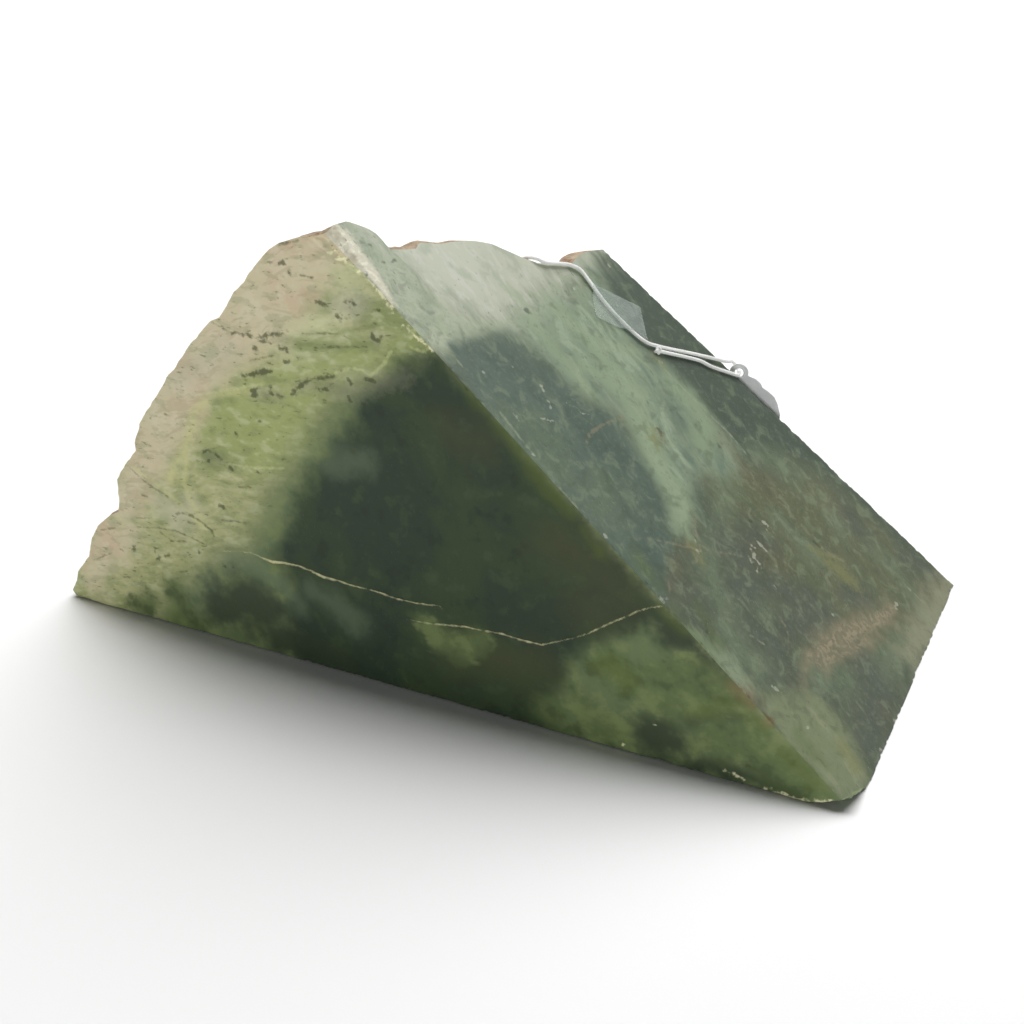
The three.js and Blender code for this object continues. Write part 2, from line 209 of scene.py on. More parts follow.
# Knots: the size of the trefoil and of its strand, and which way each knot is pulled
KNOT_SIZE = 0.32
KNOT_STRAND = 0.4
KNOT_STEPS = 90
KNOT_SIDES = 10
KNOT_PLIES = 2
KNOT_TWIST = 2
KNOT_UP = (0.2, 0.1, 1)
RIND_KNOT_PULL = (0.2, 0, 1)
LOOP_KNOT_PULL = (-0.4, -0.75, 0.4)

# Tape: a torn-off strip pressed down round the string, with its middle in plan
TAPE_MIDDLE = (145.6, 83.1)
TAPE_LENGTH = 19.2
TAPE_WIDTH = 14.2
TAPE_THICKNESS = 0.12
TAPE_TURN = math.radians(50.4)
TAPE_STEP = 0.3
TAPE_LIFT = 0.14
TAPE_WRINKLE = 0.12
TAPE_WRINKLE_SIZE = 4.5
TENT_HEIGHT = 1.45
TENT_SPREAD = 1.9
TOOTH_PITCH = 1.05
TOOTH_HEIGHT = 0.5
TOOTH_POWER = 12

# Tag: measured from its eye, half its outline from the top of the head to the foot: [u, v]
TAG_EYE = (174.44, 64.1)
TAG_STAND_OFF = 2
TAG_THICKNESS = 0.5
EYE_RADIUS = 1.4
EYE_SIDES = 32
HEAD_RADIUS = 2.9
HEAD_START = 1.08 * math.pi
HEAD_STEPS = 25
TAG_SHOULDER = [
    (5.3, -1.6), (6.8, -2.9), (7.5, -4.2), (9.5, -5.4), (11.4, -7.1), (12.4, -9.1),
    (12.9, -10.7), (13.5, -12.9), (13.5, -35), (11, -38),
]
TAG_GRID = ((-14, 14), (-40, 5))
TAG_CURL = 0.004
TAG_CURL_SPAN = (4, 34)
TAG_STEP = 1.2
TAG_RIM_ANGLE = 30
TAG_BEVEL = 0.12
WASHER_WIDTH = 0.9
WASHER_HEIGHT = 0.12
WASHER_OVERHANG = 0.1
WASHER_STEPS = 48
WASHER_SIDES = 12

# Studio: each panel's name, place, aim, size in metres and power; the room's light on the part
# and as the camera sees it; the floor's size, drop, shade and where its far part starts to glow
LIGHTS = [
    ("overhead_panel", (-0.05, 0.28, 1.5), (-0.05, 0.28, 0), (1.8, 0.54), 13.5),
    ("back_panel", (-0.05, 1.05, 1.5), (-0.05, 1.05, 0), (1.8, 2.1), 44),
    ("low_front_panel", (0.3, -1.7, 0.12), (0.3, 0, 0.12), (1.8, 0.2), 11),
]
ROOM_LIGHT = 0.05
ROOM_SEEN = 1.0
FLOOR_HALF = 4.0
FLOOR_DROP = 0.0002
FLOOR_SHADE = 0.9
FLOOR_ROUGHNESS = 0.9
FLOOR_GLOW = (0.5, 1.4)

# Sawn faces: light and haze there, which colours noted as seen are cleared of, how much they
# reflect, their even roughness, the depth of their fine bump and the least of their roughness.
# The slanted face is cleared of only a little haze, so the rest of its sheen stays in its
# colours as a painted sheen that makes them lighter and greyer than the same stone in front.
SAWN_FINISH = {
    "front": (0.73, 0.01, 0.2, 0.4, 0.06, 0.22),
    "slant": (1.22, 0.02, 0.35, 0.4, 0.05, 0.24),
    "back": (0.73, 0.01, 0.3, 0.45, 0.06, 0.26),
}

# Bounds of a cleared colour; the saw lines, pits and grain that make the fine bump, with the share
# of each; and how much the cloud and the mottle roughen a face
OWN_COLOUR_RANGE = (0.004, 0.9)
SAW_LINES = dict(size=0.9, detail=2, along=(0, 0, 1), normal=(0, 1, 0), stretch=14)
SAWN_PITS = dict(size=1.3, detail=2)
SAWN_GRAIN = dict(size=0.35, detail=2)
SAW_SHARE = 0.25
GRAIN_SHARE = 0.4
PIT_RANGE = (0.66, 0.74)
CLOUD_ROUGH = 0.18
MOTTLE_ROUGH = 0.16

# Noises of each material: lump size in millimetres and detail, the direction along which they
# are stretched, how much and with what shift, and the size and reach in millimetres of a warp.
# The veils of the slanted face run down it and a little forward. Noise keeps to about a quarter
# round its middle, so a gain brings it up to what it moves.
NOISE_ROUGHNESS = 0.55
NOISE_GAIN = 4
SLANT_DRIFT = (147.4, -49.3, -131)
FRONT_NOISES = {
    "cloud": dict(size=26, detail=4, distortion=0.6),
    "mottle": dict(size=6.5, detail=5),
    "grain": dict(size=1.7, detail=4),
    "flow": dict(size=2.6, detail=4, along=(0.94, 0, 0.34), stretch=5, warp=(16, 2.2)),
    "vary": dict(size=3.4, detail=4, along=(1, 0, 0.1), stretch=1.8, shift=0.1),
    "dash": dict(size=0.95, detail=2, along=(1, 0, 0.12), stretch=2.6, shift=0.3),
}
SLANT_NOISES = {
    "cloud": dict(size=28, detail=4, distortion=0.8),
    "mottle": dict(size=7, detail=5),
    "grain": dict(size=1.6, detail=4),
    "veil": dict(size=4.2, detail=5, along=SLANT_DRIFT, stretch=4.5, warp=(22, 4)),
    "wisp": dict(size=1.9, detail=4, along=SLANT_DRIFT, stretch=4, shift=0.2, warp=(12, 2)),
    "patch": dict(size=5, detail=5, distortion=0.7),
    "fine": dict(size=1.4, detail=4),
    "dash": dict(size=1.2, detail=2, along=SLANT_DRIFT, stretch=2),
}
RIND_NOISES = {
    "cloud": dict(size=24, detail=4),
    "mottle": dict(size=5, detail=5),
    "grain": dict(size=1.1, detail=4),
    "stain": dict(size=17, detail=4, distortion=1),
}
BACK_NOISES = {
    "cloud": dict(size=36, detail=4, distortion=0.8),
    "mottle": dict(size=8, detail=5),
    "flow": dict(size=3.4, detail=4, along=(0.8, 0.1, -0.5), stretch=5, warp=(20, 3)),
    "dash": dict(size=1.3, detail=2, along=(1, 0.2, 0), stretch=2.6),
}
STRING_NOISES = {"fibre": dict(size=0.22), "tone": dict(size=2.5, detail=2)}
TAPE_NOISES = {
    "haze": dict(size=3.2, detail=4),
    "frost": dict(size=0.7, detail=2),
    "ripple": dict(size=0.5),
}
CARD_NOISES = {"fibre": dict(size=0.5, detail=4), "tone": dict(size=9)}

# Sockets of the node that mixes two colours
MIX_UNDER, MIX_OVER, MIX_RESULT = 6, 7, 2

# Finish of the other materials: roughness, reflection, light and haze, and bumps in millimetres
RIND_ROUGHNESS = 0.75
RIND_LEAST_ROUGH = 0.6
RIND_GRAIN_ROUGH = 0.25
RIND_GRAIN_SHARE = 0.5
RIND_SPECULAR = 0.3
RIND_LIGHT = 0.85
RIND_HAZE = 0.01
RIND_BUMP = 0.7
STRING_ROUGHNESS = 0.85
STRING_SPECULAR = 0.2
STRING_SHEEN = 0.3
STRING_BUMP = 0.05
TAPE_ROUGHNESS = 0.5
TAPE_ROUGH_RANGE = (0.3, 0.7, 0.55)
TAPE_ALPHA = 0.2
TAPE_RIPPLE_BUMP = 0.02
TAPE_HAZE_BUMP = 0.12
CARD_ROUGHNESS = 0.7
CARD_SPECULAR = 0.3
CARD_BUMP = 0.03

# Paint of each material, first layer to last: the colour as seen and how strongly it covers,
# the mark that it fills or None, and the noises that break it up. A mark has the softness of its
# edge and how far that wanders, in millimetres, and the noise that moves it; below zero, the
# softness paints outside the mark. A noise comes with where the layer starts and where it is full.
FRONT_LAYERS = [
    ("#97996d", 1, None),
    ("#7f8760", 0.6, None, ("mottle", 0.46, 0.62)),
    ("#a5a681", 0.5, None, ("flow", 0.5, 0.62)),
    ("#757d57", 0.5, None, ("flow", 0.47, 0.37)),
    ("#a8a984", 0.4, None, ("cloud", 0.5, 0.62)),
    ("#b0b28d", 0.85, ("pale", 6, 3, "mottle")),
    ("#727e50", 0.8, ("olive", 3, 2, "flow")),
    ("#8b945f", 0.8, ("lime", 3.5, 2, "mottle")),
    ("#6c7550", 0.4, None, ("vary", 0.5, 0.66)),
    ("#b9bb99", 0.35, None, ("vary", 0.48, 0.34)),
    ("#b9af94", 0.85, ("tan", 6, 3.2, "mottle")),
    ("#b19a82", 0.5, ("tan", 3, 3, "mottle"), ("cloud", 0.48, 0.6)),
    ("#bdb69e", 0.5, ("tan", 3, 3, "mottle"), ("mottle", 0.5, 0.62)),
    ("#a9a790", 0.6, ("grey", 4, 2, "mottle")),
    ("#b3b47f", 0.6, ("arc", 1.5, 1, "mottle")),
    ("#535a3d", 0.65, None, ("dash", 0.61, 0.68), ("vary", 0.46, 0.58)),
    ("#9c9174", 0.4, ("tan", 3, 3, "mottle"), ("flow", 0.47, 0.38)),
    ("#8d8f70", 0.4, ("tan", 3, 3, "mottle"), ("vary", 0.52, 0.62)),
    ("#5d6a4b", 1, ("gloom", 8, 2.6, "mottle")),
    ("#717c50", 0.45, ("gloom", 8, 2.6, "mottle"), ("mottle", 0.5, 0.66)),
    ("#313b30", 1, ("dark", 4.6, 2, "mottle")),
    ("#384330", 0.85, ("dark", 4.6, 2, "mottle"), ("cloud", 0.42, 0.6)),
    ("#414d38", 0.5, ("dark", 4.6, 2, "mottle"), ("mottle", 0.54, 0.7)),
    ("#2b332b", 0.5, ("dark", 4.6, 2, "mottle"), ("mottle", 0.45, 0.32)),
    ("#454832", 0.55, ("bark", 7, 4, "mottle")),
    ("#5f6c57", 0.45, ("haze", 4, 3, "mottle")),
    ("#323a30", 0.85, ("shade", 5, 3.4, "mottle")),
    ("#556241", 0.85, ("moss", 3.4, 3, "mottle")),
    ("#6a774d", 0.6, ("moss", 1.6, 3, "flow"), ("mottle", 0.48, 0.68)),
    ("#414c35", 0.6, ("moss", 2, 3, "mottle"), ("mottle", 0.5, 0.34)),
    # Green along the ridge: partly the stone's own green, partly a painted glow of light shining through
    # the thin edge.
    ("#56632f", 0.4, ("emerald", 2.6, 2, "mottle")),
    ("#7d6a4b", 0.6, ("rust", 2.6, 1.6, "mottle")),
    ("#6b6d5c", 0.35, ("smudge", 2.4, 1.8, "grain")),
    ("#565c42", 0.85, ("streak", 0.4, 0.35, "grain")),
    ("#c0c38f", 0.4, ("line", 0.5, 0.5, "grain")),
    ("#42472f", 0.75, ("blot", 0.45, 0.85, "grain")),
    ("#b8b58c", 0.85, ("crack", 0.16, 0.12, "grain")),
    ("#cfcda6", 0.8, ("crumb", 0.5, 1.2, "grain")),
]
# The slanted face's colours are its own colours under a painted sheen: painted reflection lifts them
# lighter and greyer than the same stone on the front.
SLANT_LAYERS_WITH_SHEEN = [
    ("#6a7261", 1, None),
    ("#5f685b", 0.7, None, ("mottle", 0.48, 0.62)),
    ("#7b836c", 0.5, None, ("veil", 0.52, 0.66)),
    ("#72775f", 0.9, ("olive", 8, 5, "veil")),
    ("#68715a", 0.6, ("olive", 6, 5, "veil"), ("veil", 0.5, 0.4)),
    ("#90a189", 1, ("veil", 6, 4, "veil")),
    ("#aab9a0", 0.8, ("veil", 6, 4, "veil"), ("veil", 0.5, 0.64)),
    ("#74887b", 0.7, ("veil", 6, 4, "veil"), ("veil", 0.48, 0.38)),
    ("#5b665c", 0.9, ("right", 5, 3, "mottle")),
    ("#7c8a72", 0.7, ("sage", 5, 3.4, "veil")),
    ("#646b63", 0.75, ("dusk", 6, 4, "mottle")),
    ("#77705a", 0.38, ("brown", 5, 3.4, "mottle")),
    ("#a0a086", 0.85, ("toe", 6, 4, "mottle")),
    ("#bfc7af", 0.95, ("strip", 4, 3, "veil")),
    ("#95a38c", 0.5, ("strip", 4, 3, "veil"), ("mottle", 0.48, 0.6)),
    ("#a9b39a", 1, ("pale", 18, 9, "veil")),
    ("#c8ccb8", 1, ("pale", 8, 6, "veil")),
    ("#d4d7c9", 0.6, ("pale", 8, 6, "veil"), ("wisp", 0.5, 0.64)),
    ("#a4ae98", 0.45, ("pale", 8, 6, "veil"), ("mottle", 0.52, 0.66)),
    # The blue mark is the dark stone of the front under painted sheen, a painted reflection that turns it
    # blue-grey.
    ("#68776c", 1, ("blue", 3, 2.6, "veil")),
    ("#5d6d63", 0.6, ("blue", 3, 2.6, "veil"), ("mottle", 0.5, 0.64)),
    ("#74826f", 0.5, ("blue", 3, 2.6, "veil"), ("cloud", 0.48, 0.6)),
    ("#76866c", 0.5, ("fern", 6, 4, "mottle")),
    ("#56645c", 0.4, ("navy", 4, 3, "mottle")),
    ("#9cae90", 0.8, ("band", 4, 3, "veil")),
    ("#a6b596", 0.65, ("glow", 2.4, 2.4, "wisp")),
    ("#939c7a", 0.8, ("tongue", 5, 4, "veil")),
    ("#a0a788", 0.6, ("tongue", 2, 4, "veil"), ("veil", 0.5, 0.62)),
    ("#97a588", 0.34, ("pale", -8, 6, "veil"), ("patch", 0.51, 0.67)),
    ("#566150", 0.34, ("pale", -8, 6, "veil"), ("patch", 0.48, 0.32)),
    ("#8f9d7c", 0.2, ("pale", -8, 6, "veil"), ("fine", 0.54, 0.68)),
    ("#5c6852", 0.18, ("pale", -8, 6, "veil"), ("fine", 0.45, 0.32)),
    ("#67774c", 0.45, ("green", 3, 2, "mottle")),
    ("#8d9065", 0.65, ("lemon", 2.4, 2.4, "grain")),
    ("#9a9279", 0.65, ("pink", 4.4, 4, "mottle")),
    ("#b0a38a", 0.7, ("pink", 1.5, 3, "grain"), ("grain", 0.48, 0.58)),
    ("#7b6446", 0.7, ("rust", 1.2, 1.6, "grain")),
    ("#989178", 0.55, ("vein", 0.4, 0.6, "grain")),
    ("#aab296", 0.6, ("crease", 0.4, 0.5, "grain")),
    ("#535b4c", 0.7, ("spot", 0.5, 0.6, "grain")),
    ("#7d846e", 0.5, ("shelf", 0.4, 0.3, "grain")),
    ("#c9cbb8", 0.55, ("fleck", 0.3, 1, "grain")),
    # The crumbled ridge top: its own pale colour, painted brighter still as painted light that cancels the
    # shade on the broken corner, which faces the front.
    ("#dfdcc6", 1, ("crest", 1.4, 1.6, "grain")),
    ("#f7f3dd", 0.8, ("crest", 1.4, 1.6, "grain"), ("grain", 0.5, 0.58)),
    ("#b9a98d", 0.5, ("crest", 1.4, 1.6, "grain"), ("mottle", 0.5, 0.62)),
    ("#505a4e", 0.4, None, ("dash", 0.67, 0.73)),
]
RIND_LAYERS = [
    ("#a3907a", 1, None),
    ("#84664d", 0.8, None, ("cloud", 0.42, 0.66)),
    ("#b9ad97", 0.8, None, ("mottle", 0.46, 0.72)),
    ("#86805f", 0.5, None, ("stain", 0.52, 0.72)),
    ("#644c39", 0.7, None, ("mottle", 0.46, 0.28)),
    ("#c6b9a2", 0.5, None, ("grain", 0.52, 0.74)),
    ("#5a4737", 0.6, None, ("grain", 0.44, 0.28)),
]
BACK_LAYERS = [
    ("#46513d", 1, None),
    ("#5d6a4d", 0.9, None, ("cloud", 0.42, 0.66)),
    ("#39433a", 0.7, None, ("mottle", 0.48, 0.7)),
    ("#6d7a5c", 0.6, None, ("flow", 0.46, 0.72)),
    ("#8f9477", 0.6, None, ("cloud", 0.54, 0.74), ("mottle", 0.4, 0.66)),
    ("#a09a7c", 0.8, ("rind_near", 9, 6, "mottle")),
    ("#2e352b", 0.7, None, ("dash", 0.66, 0.73)),
]
STRING_LAYERS = [
    ("#f5f7f2", 1, None),
    ("#dfe3db", 0.6, None, ("fibre", 0.5, 0.68)),
    ("#eceee4", 0.6, None, ("tone", 0.5, 0.62)),
]
TAPE_LAYERS = [
    ("#b9c5bd", 1, None),
    ("#cdd6d0", 0.7, None, ("haze", 0.5, 0.64)),
    ("#a3b2aa", 0.4, None, ("frost", 0.56, 0.68)),
]
CARD_SHADES = [(0.6, ("fibre", 0.48, 0.66)), (0.5, ("tone", 0.5, 0.66))]
CARD_COLOURS = ("#f2f3f3", "#e6e8e8")
WASHER_COLOURS = ("#f4f5f5", "#eaecec")

# Stained stone beside the rind on the back and base: how far in, and every how many rind points
STAIN_REACH = 7
STAIN_SAMPLING = 7

# What each triangle of the stone shows, where the base shares the back's material, and how far
# from its edge a mark is still measured
KINDS = ["front", "slant", "rind", "back", "base"]
FIELD_REACH = 30.0

# Marks of a face that want a finer mesh under them
FINE_MARKS = {
    "front": ("crack", "blot", "line", "streak", "crumb", "arc"),
    "slant": ("vein", "fleck", "spot", "rust", "shelf", "crease", "crest"),
}

# Marks of the sawn faces, drawn over the photograph in its pixels. A point of a stroke or a
# lone dot has a third number, the half width in millimetres; an outline's points have none.
FRONT_MARKS = {
    "gloom": [
        [(447, 352), (408, 356), (380, 376), (360, 380), (345, 388), (332, 400), (268, 495), (246, 545),
         (195, 572), (170, 590), (158, 612), (165, 650), (560, 780), (900, 860), (880, 800), (720, 670),
         (662, 606)],
    ],
    "dark": [
        [(447, 357), (430, 357), (412, 362), (370, 392), (358, 405), (340, 438), (308, 478), (272, 560),
         (286, 572), (292, 590), (286, 610), (330, 720), (760, 830), (700, 770), (640, 762), (560, 738),
         (552, 715), (560, 680), (585, 650), (612, 636), (650, 622), (700, 655), (740, 700), (720, 670),
         (662, 606)],
    ],
    "tan": [
        [(325, 232, 7), (290, 252, 12), (242, 305, 13), (215, 340, 9), (185, 378, 8.6), (165, 415, 8.6),
         (132, 488, 5), (122, 505, 5)],
        [(110, 532, 5), (100, 560, 5), (92, 580, 3)], [(130, 530, 3), (120, 552, 3)],
    ],
    "grey": [
        [(175, 378, 4), (228, 348, 4)], [(340, 305, 3), (355, 303, 3.5), (365, 308, 2)],
        [(165, 505, 4), (180, 520, 4), (190, 505, 3)],
    ],
    "pale": [
        [(330, 268, 5), (348, 285, 5), (352, 292, 3)], [(300, 312, 5), (320, 322, 5), (290, 330, 4)],
        [(275, 345, 2), (300, 352, 2.5), (325, 350, 2)],
    ],
    "olive": [
        [(368, 312, 3.5), (392, 320, 4), (408, 335, 3)], [(305, 300, 3), (325, 302, 2.5)],
        [(405, 352, 4), (425, 344, 4.5), (436, 350, 3)], [(205, 462, 3), (222, 458, 3.4)],
        [(300, 345, 2), (340, 347, 2.6), (372, 346, 2.4)],
        [(430, 350, 2), (410, 354, 2.6), (392, 362, 2.4)], [(205, 410, 2.5), (230, 402, 2.5)],
        [(122, 603, 2), (130, 608, 2)],
    ],
    "lime": [
        [(425, 345, 2.4), (405, 345, 2), (372, 364, 3), (350, 362, 3), (325, 366, 2.6), (245, 385, 2)],
        [(208, 408, 3), (205, 430, 4), (235, 415, 6), (265, 420, 7), (295, 425, 7), (300, 445, 5)],
        [(235, 440, 6), (270, 450, 7), (250, 458, 5)], [(290, 400, 4), (320, 395, 3)],
    ],
    "arc": [
        [(262, 386, 0.5), (245, 391, 0.8), (215, 396, 1), (200, 405, 1), (192, 416, 0.9), (190, 434, 0.9),
         (184, 450, 1), (175, 464, 1), (170, 480, 0.7)],
        [(187, 455, 0.4), (184, 480, 0.5), (190, 500, 0.5), (203, 520, 0.4)],
        [(128, 463, 0.3), (155, 483, 0.5), (178, 502, 0.5), (205, 528, 0.4)],
    ],
    "line": [
        [(432, 345, 0.2), (424, 352, 0.25), (410, 347, 0.2)],
        [(391, 351, 0.2), (384, 364, 0.3), (370, 376, 0.35), (362, 370, 0.2), (350, 368, 0.25),
         (335, 373, 0.2)],
        [(378, 288, 0.2), (392, 302, 0.3)], [(415, 330, 0.4), (411, 338, 0.4)],
        [(228, 464, 0.2), (255, 468, 0.2), (284, 468, 0.15)],
        [(200, 395, 0.2), (240, 388, 0.3), (262, 384, 0.2)],
        [(310, 322, 0.15), (325, 330, 0.2), (342, 335, 0.15)],
    ],
    "crack": [
        [(207, 546, 0.12), (217, 552, 0.16), (234, 551, 0.16), (251, 553, 0.2), (262, 558, 0.3),
         (272, 562, 0.42), (284, 563, 0.36), (298, 566, 0.3), (311, 571, 0.3), (323, 577, 0.42),
         (338, 581, 0.26), (353, 586, 0.26), (367, 589, 0.22), (380, 593, 0.26), (396, 599, 0.24),
         (414, 603, 0.24), (428, 605, 0.24), (439, 606, 0.2), (447, 614, 0.12)],
        [(404, 619, 0.1), (414, 621, 0.18), (430, 624, 0.22), (445, 625, 0.24), (465, 627, 0.28),
         (484, 631, 0.22), (502, 634, 0.24), (520, 640, 0.26), (533, 643, 0.26), (541, 645, 0.26),
         (551, 643, 0.22), (575, 638, 0.18), (590, 633, 0.24), (604, 626, 0.22), (616, 621, 0.22),
         (628, 616, 0.22), (638, 611, 0.24), (650, 608, 0.2), (662, 606, 0.26)],
    ],
    "haze": [
        [(225, 562, 4), (250, 562, 4), (268, 575, 3), (300, 605, 3)], [(195, 600, 3), (215, 588, 3)],
        [(310, 590, 3), (335, 605, 4), (355, 625, 4)], [(330, 465, 3), (360, 462, 4)],
    ],
    "shade": [
        [(220, 606, 7), (245, 600, 8), (268, 606, 6), (258, 622, 7)],
        [(285, 640, 6), (320, 655, 6), (345, 668, 4)], [(643, 732, 5), (658, 735, 7), (682, 744, 4)],
        [(690, 722, 2), (715, 720, 2.6), (735, 718, 2)], [(700, 765, 3), (735, 772, 3), (775, 786, 2)],
        [(672, 632, 4), (690, 645, 4), (703, 658, 3)],
    ],
    "moss": [
        [(603, 668, 4), (612, 662, 4), (622, 678, 4), (634, 690, 3)],
        [(640, 678, 4), (690, 680, 7), (712, 685, 6), (700, 700, 5)], [(655, 700, 4), (672, 706, 4)],
        [(578, 700, 4), (590, 720, 5), (612, 730, 5)], [(715, 738, 5), (735, 745, 5), (720, 728, 4)],
        [(748, 735, 5), (762, 755, 5), (785, 775, 5), (800, 788, 3)],
        [(425, 622, 3), (440, 640, 4), (465, 650, 4), (480, 640, 3)],
        [(175, 590, 4), (182, 605, 4), (175, 622, 4), (200, 628, 3)], [(150, 600, 4), (140, 612, 4)],
        (554, 712, 5),
    ],
    # Green along the ridge: partly the stone's own green, partly a painted glow of light shining through
    # the thin edge.
    "emerald": [
        [(604, 662, 3), (614, 668, 3.4), (626, 680, 3)], [(778, 745, 2), (790, 757, 3), (822, 788, 2.6)],
        [(692, 712, 2), (740, 705, 2.5), (765, 728, 2)],
        [(495, 420, 1), (520, 452, 2.6), (548, 486, 2.8), (570, 512, 1.6)],
        [(585, 532, 1), (600, 552, 1.4)], [(664, 612, 1), (674, 622, 1.6), (684, 632, 1)],
        [(450, 365, 1), (470, 392, 1.6), (486, 410, 1.2)],
    ],
    "bark": [
        [(560, 545, 6), (590, 565, 7), (620, 595, 6), (590, 610, 6)],
        [(455, 655, 5), (500, 660, 6), (540, 665, 5)],
        [(700, 672, 3), (722, 682, 4), (742, 700, 4), (755, 712, 2)], [(450, 430, 3), (480, 445, 4)],
    ],
    "rust": [
        [(733, 688, 0.9), (741, 695, 1.2), (750, 704, 0.8)],
        (768, 722, 0.8),
    ],
    "blot": [
        [(231, 333, 0.3), (246, 334, 0.4), (253, 337, 0.3), (260, 341, 0.3), (270, 342, 0.3)],
        [(258, 338, 0.3), (268, 335, 0.4), (280, 334, 0.6), (286, 332, 0.3)],
        [(252, 348, 0.5), (256, 348, 0.4)], [(281, 348, 0.5), (287, 350, 0.6)],
        [(284, 362, 0.4), (289, 361, 0.3)],
        [(242, 375, 0.3), (254, 374, 0.5), (263, 372, 0.8), (270, 371, 0.5)],
        [(252, 391, 0.7), (258, 388, 0.4)], [(252, 396, 0.6), (257, 395, 0.4)],
        [(279, 396, 0.6), (282, 397, 0.5)],
        [(293, 394, 0.4), (297, 388, 0.6), (303, 383, 0.5), (310, 380, 0.3), (321, 379, 0.4),
         (333, 376, 0.2)],
        [(318, 389, 0.4), (325, 389, 0.6)], [(366, 379, 0.4), (374, 381, 0.6)],
        [(348, 378, 0.4), (351, 384, 0.5)], [(349, 396, 0.5), (350, 401, 0.4)],
        [(279, 263, 0.3), (284, 263, 0.4)], [(289, 272, 0.5), (290, 275, 0.3)],
        [(316, 302, 0.3), (321, 303, 0.6), (326, 306, 0.3)],
        [(337, 317, 0.6), (341, 320, 0.5), (342, 315, 0.3)],
        [(373, 336, 0.5), (376, 341, 0.7), (382, 337, 0.4)], [(375, 311, 0.4), (380, 309, 0.4)],
        [(345, 302, 0.3), (352, 302, 0.5), (356, 305, 0.3)],
        [(203, 453, 0.2), (208, 451, 0.3), (214, 452, 0.2)], [(216, 455, 0.4), (222, 459, 0.3)],
        [(199, 462, 0.3), (206, 463, 0.4), (210, 460, 0.2)], [(230, 467, 0.5), (233, 470, 0.3)],
        [(220, 506, 0.5), (224, 508, 0.5)], [(134, 547, 0.5), (134, 551, 0.3)],
        [(155, 548, 0.4), (155, 552, 0.4)], [(165, 557, 0.3), (169, 555, 0.6)],
        [(156, 559, 0.3), (160, 558, 0.3)],
        (299, 358, 0.6), (271, 388, 0.5), (272, 394, 0.7), (270, 399, 0.4), (348, 318, 0.4),
        (236, 434, 0.6), (241, 427, 0.4), (259, 422, 0.4), (251, 418, 0.3), (258, 472, 0.5),
        (199, 552, 0.6), (224, 566, 0.5), (232, 567, 0.4), (122, 550, 0.3), (410, 382, 0.6),
        (747, 766, 0.7), (353, 452, 0.6), (300, 500, 0.4),
    ],
    "smudge": [
        [(254, 392, 1.6), (276, 394, 2)],
        [(298, 388, 1.6), (325, 386, 2), (350, 392, 2.4), (405, 378, 2.4)],
        [(208, 456, 1.8), (222, 459, 1.2)], [(352, 304, 2), (362, 306, 1.6)],
        (278, 335, 1.8), (262, 372, 1.8), (376, 339, 2), (388, 302, 1.4),
    ],
    "streak": [
        [(314, 348, 0.12), (335, 347, 0.2), (367, 347, 0.14)], [(300, 275, 0.2), (313, 278, 0.15)],
        [(212, 322, 0.1), (222, 328, 0.2), (230, 332, 0.2)],
        [(302, 334, 0.1), (322, 333, 0.2), (340, 334, 0.15), (352, 340, 0.1)],
        [(250, 360, 0.1), (272, 356, 0.15)], [(130, 468, 0.1), (145, 482, 0.15), (168, 497, 0.15)],
        [(186, 512, 0.1), (200, 521, 0.25), (212, 531, 0.35), (214, 536, 0.2)],
        [(176, 514, 0.2), (183, 513, 0.25), (190, 516, 0.3), (199, 512, 0.15)],
        [(188, 522, 0.3), (196, 524, 0.2)],
        [(137, 527, 0.1), (160, 528, 0.2), (176, 531, 0.25), (190, 537, 0.15), (206, 545, 0.2)],
        [(160, 532, 0.1), (172, 541, 0.2), (186, 541, 0.12)], [(136, 518, 0.12), (152, 518, 0.12)],
        [(101, 530, 0.1), (115, 528, 0.12)], [(94, 560, 0.1), (112, 553, 0.15)],
        [(164, 414, 0.15), (172, 416, 0.1)], [(142, 495, 0.3), (148, 497, 0.2)],
        [(278, 245, 0.2), (284, 243, 0.4), (298, 241, 0.2)], [(124, 577, 0.2), (132, 577, 0.15)],
        [(180, 572, 0.2), (187, 571, 0.15)], [(335, 238, 0.3), (343, 239, 0.3)],
        [(340, 249, 0.3), (352, 247, 0.4)], [(239, 487, 0.2), (250, 488, 0.15)],
        [(222, 520, 0.2), (246, 523, 0.25)],
        (192, 498, 0.25), (195, 482, 0.2), (193, 490, 0.25),
    ],
    "crumb": [
        [(391, 308, 0.5), (387, 300, 0.6), (378, 288, 0.6), (366, 275, 0.8), (357, 267, 1), (347, 261, 0.8),
         (338, 256, 0.8), (326, 248, 0.6)],
        [(437, 352, 0.25), (420, 340, 0.25), (404, 325, 0.2)], [(344, 245, 0.8), (352, 255, 0.8)],
        [(724, 771, 0.15), (735, 775, 0.2), (745, 780, 0.1)],
        [(765, 788, 0.25), (780, 794, 0.3), (797, 799, 0.4), (815, 802, 0.4), (832, 801, 0.3)],
        (620, 720, 0.15), (655, 724, 0.2), (624, 745, 0.3),
    ],
}
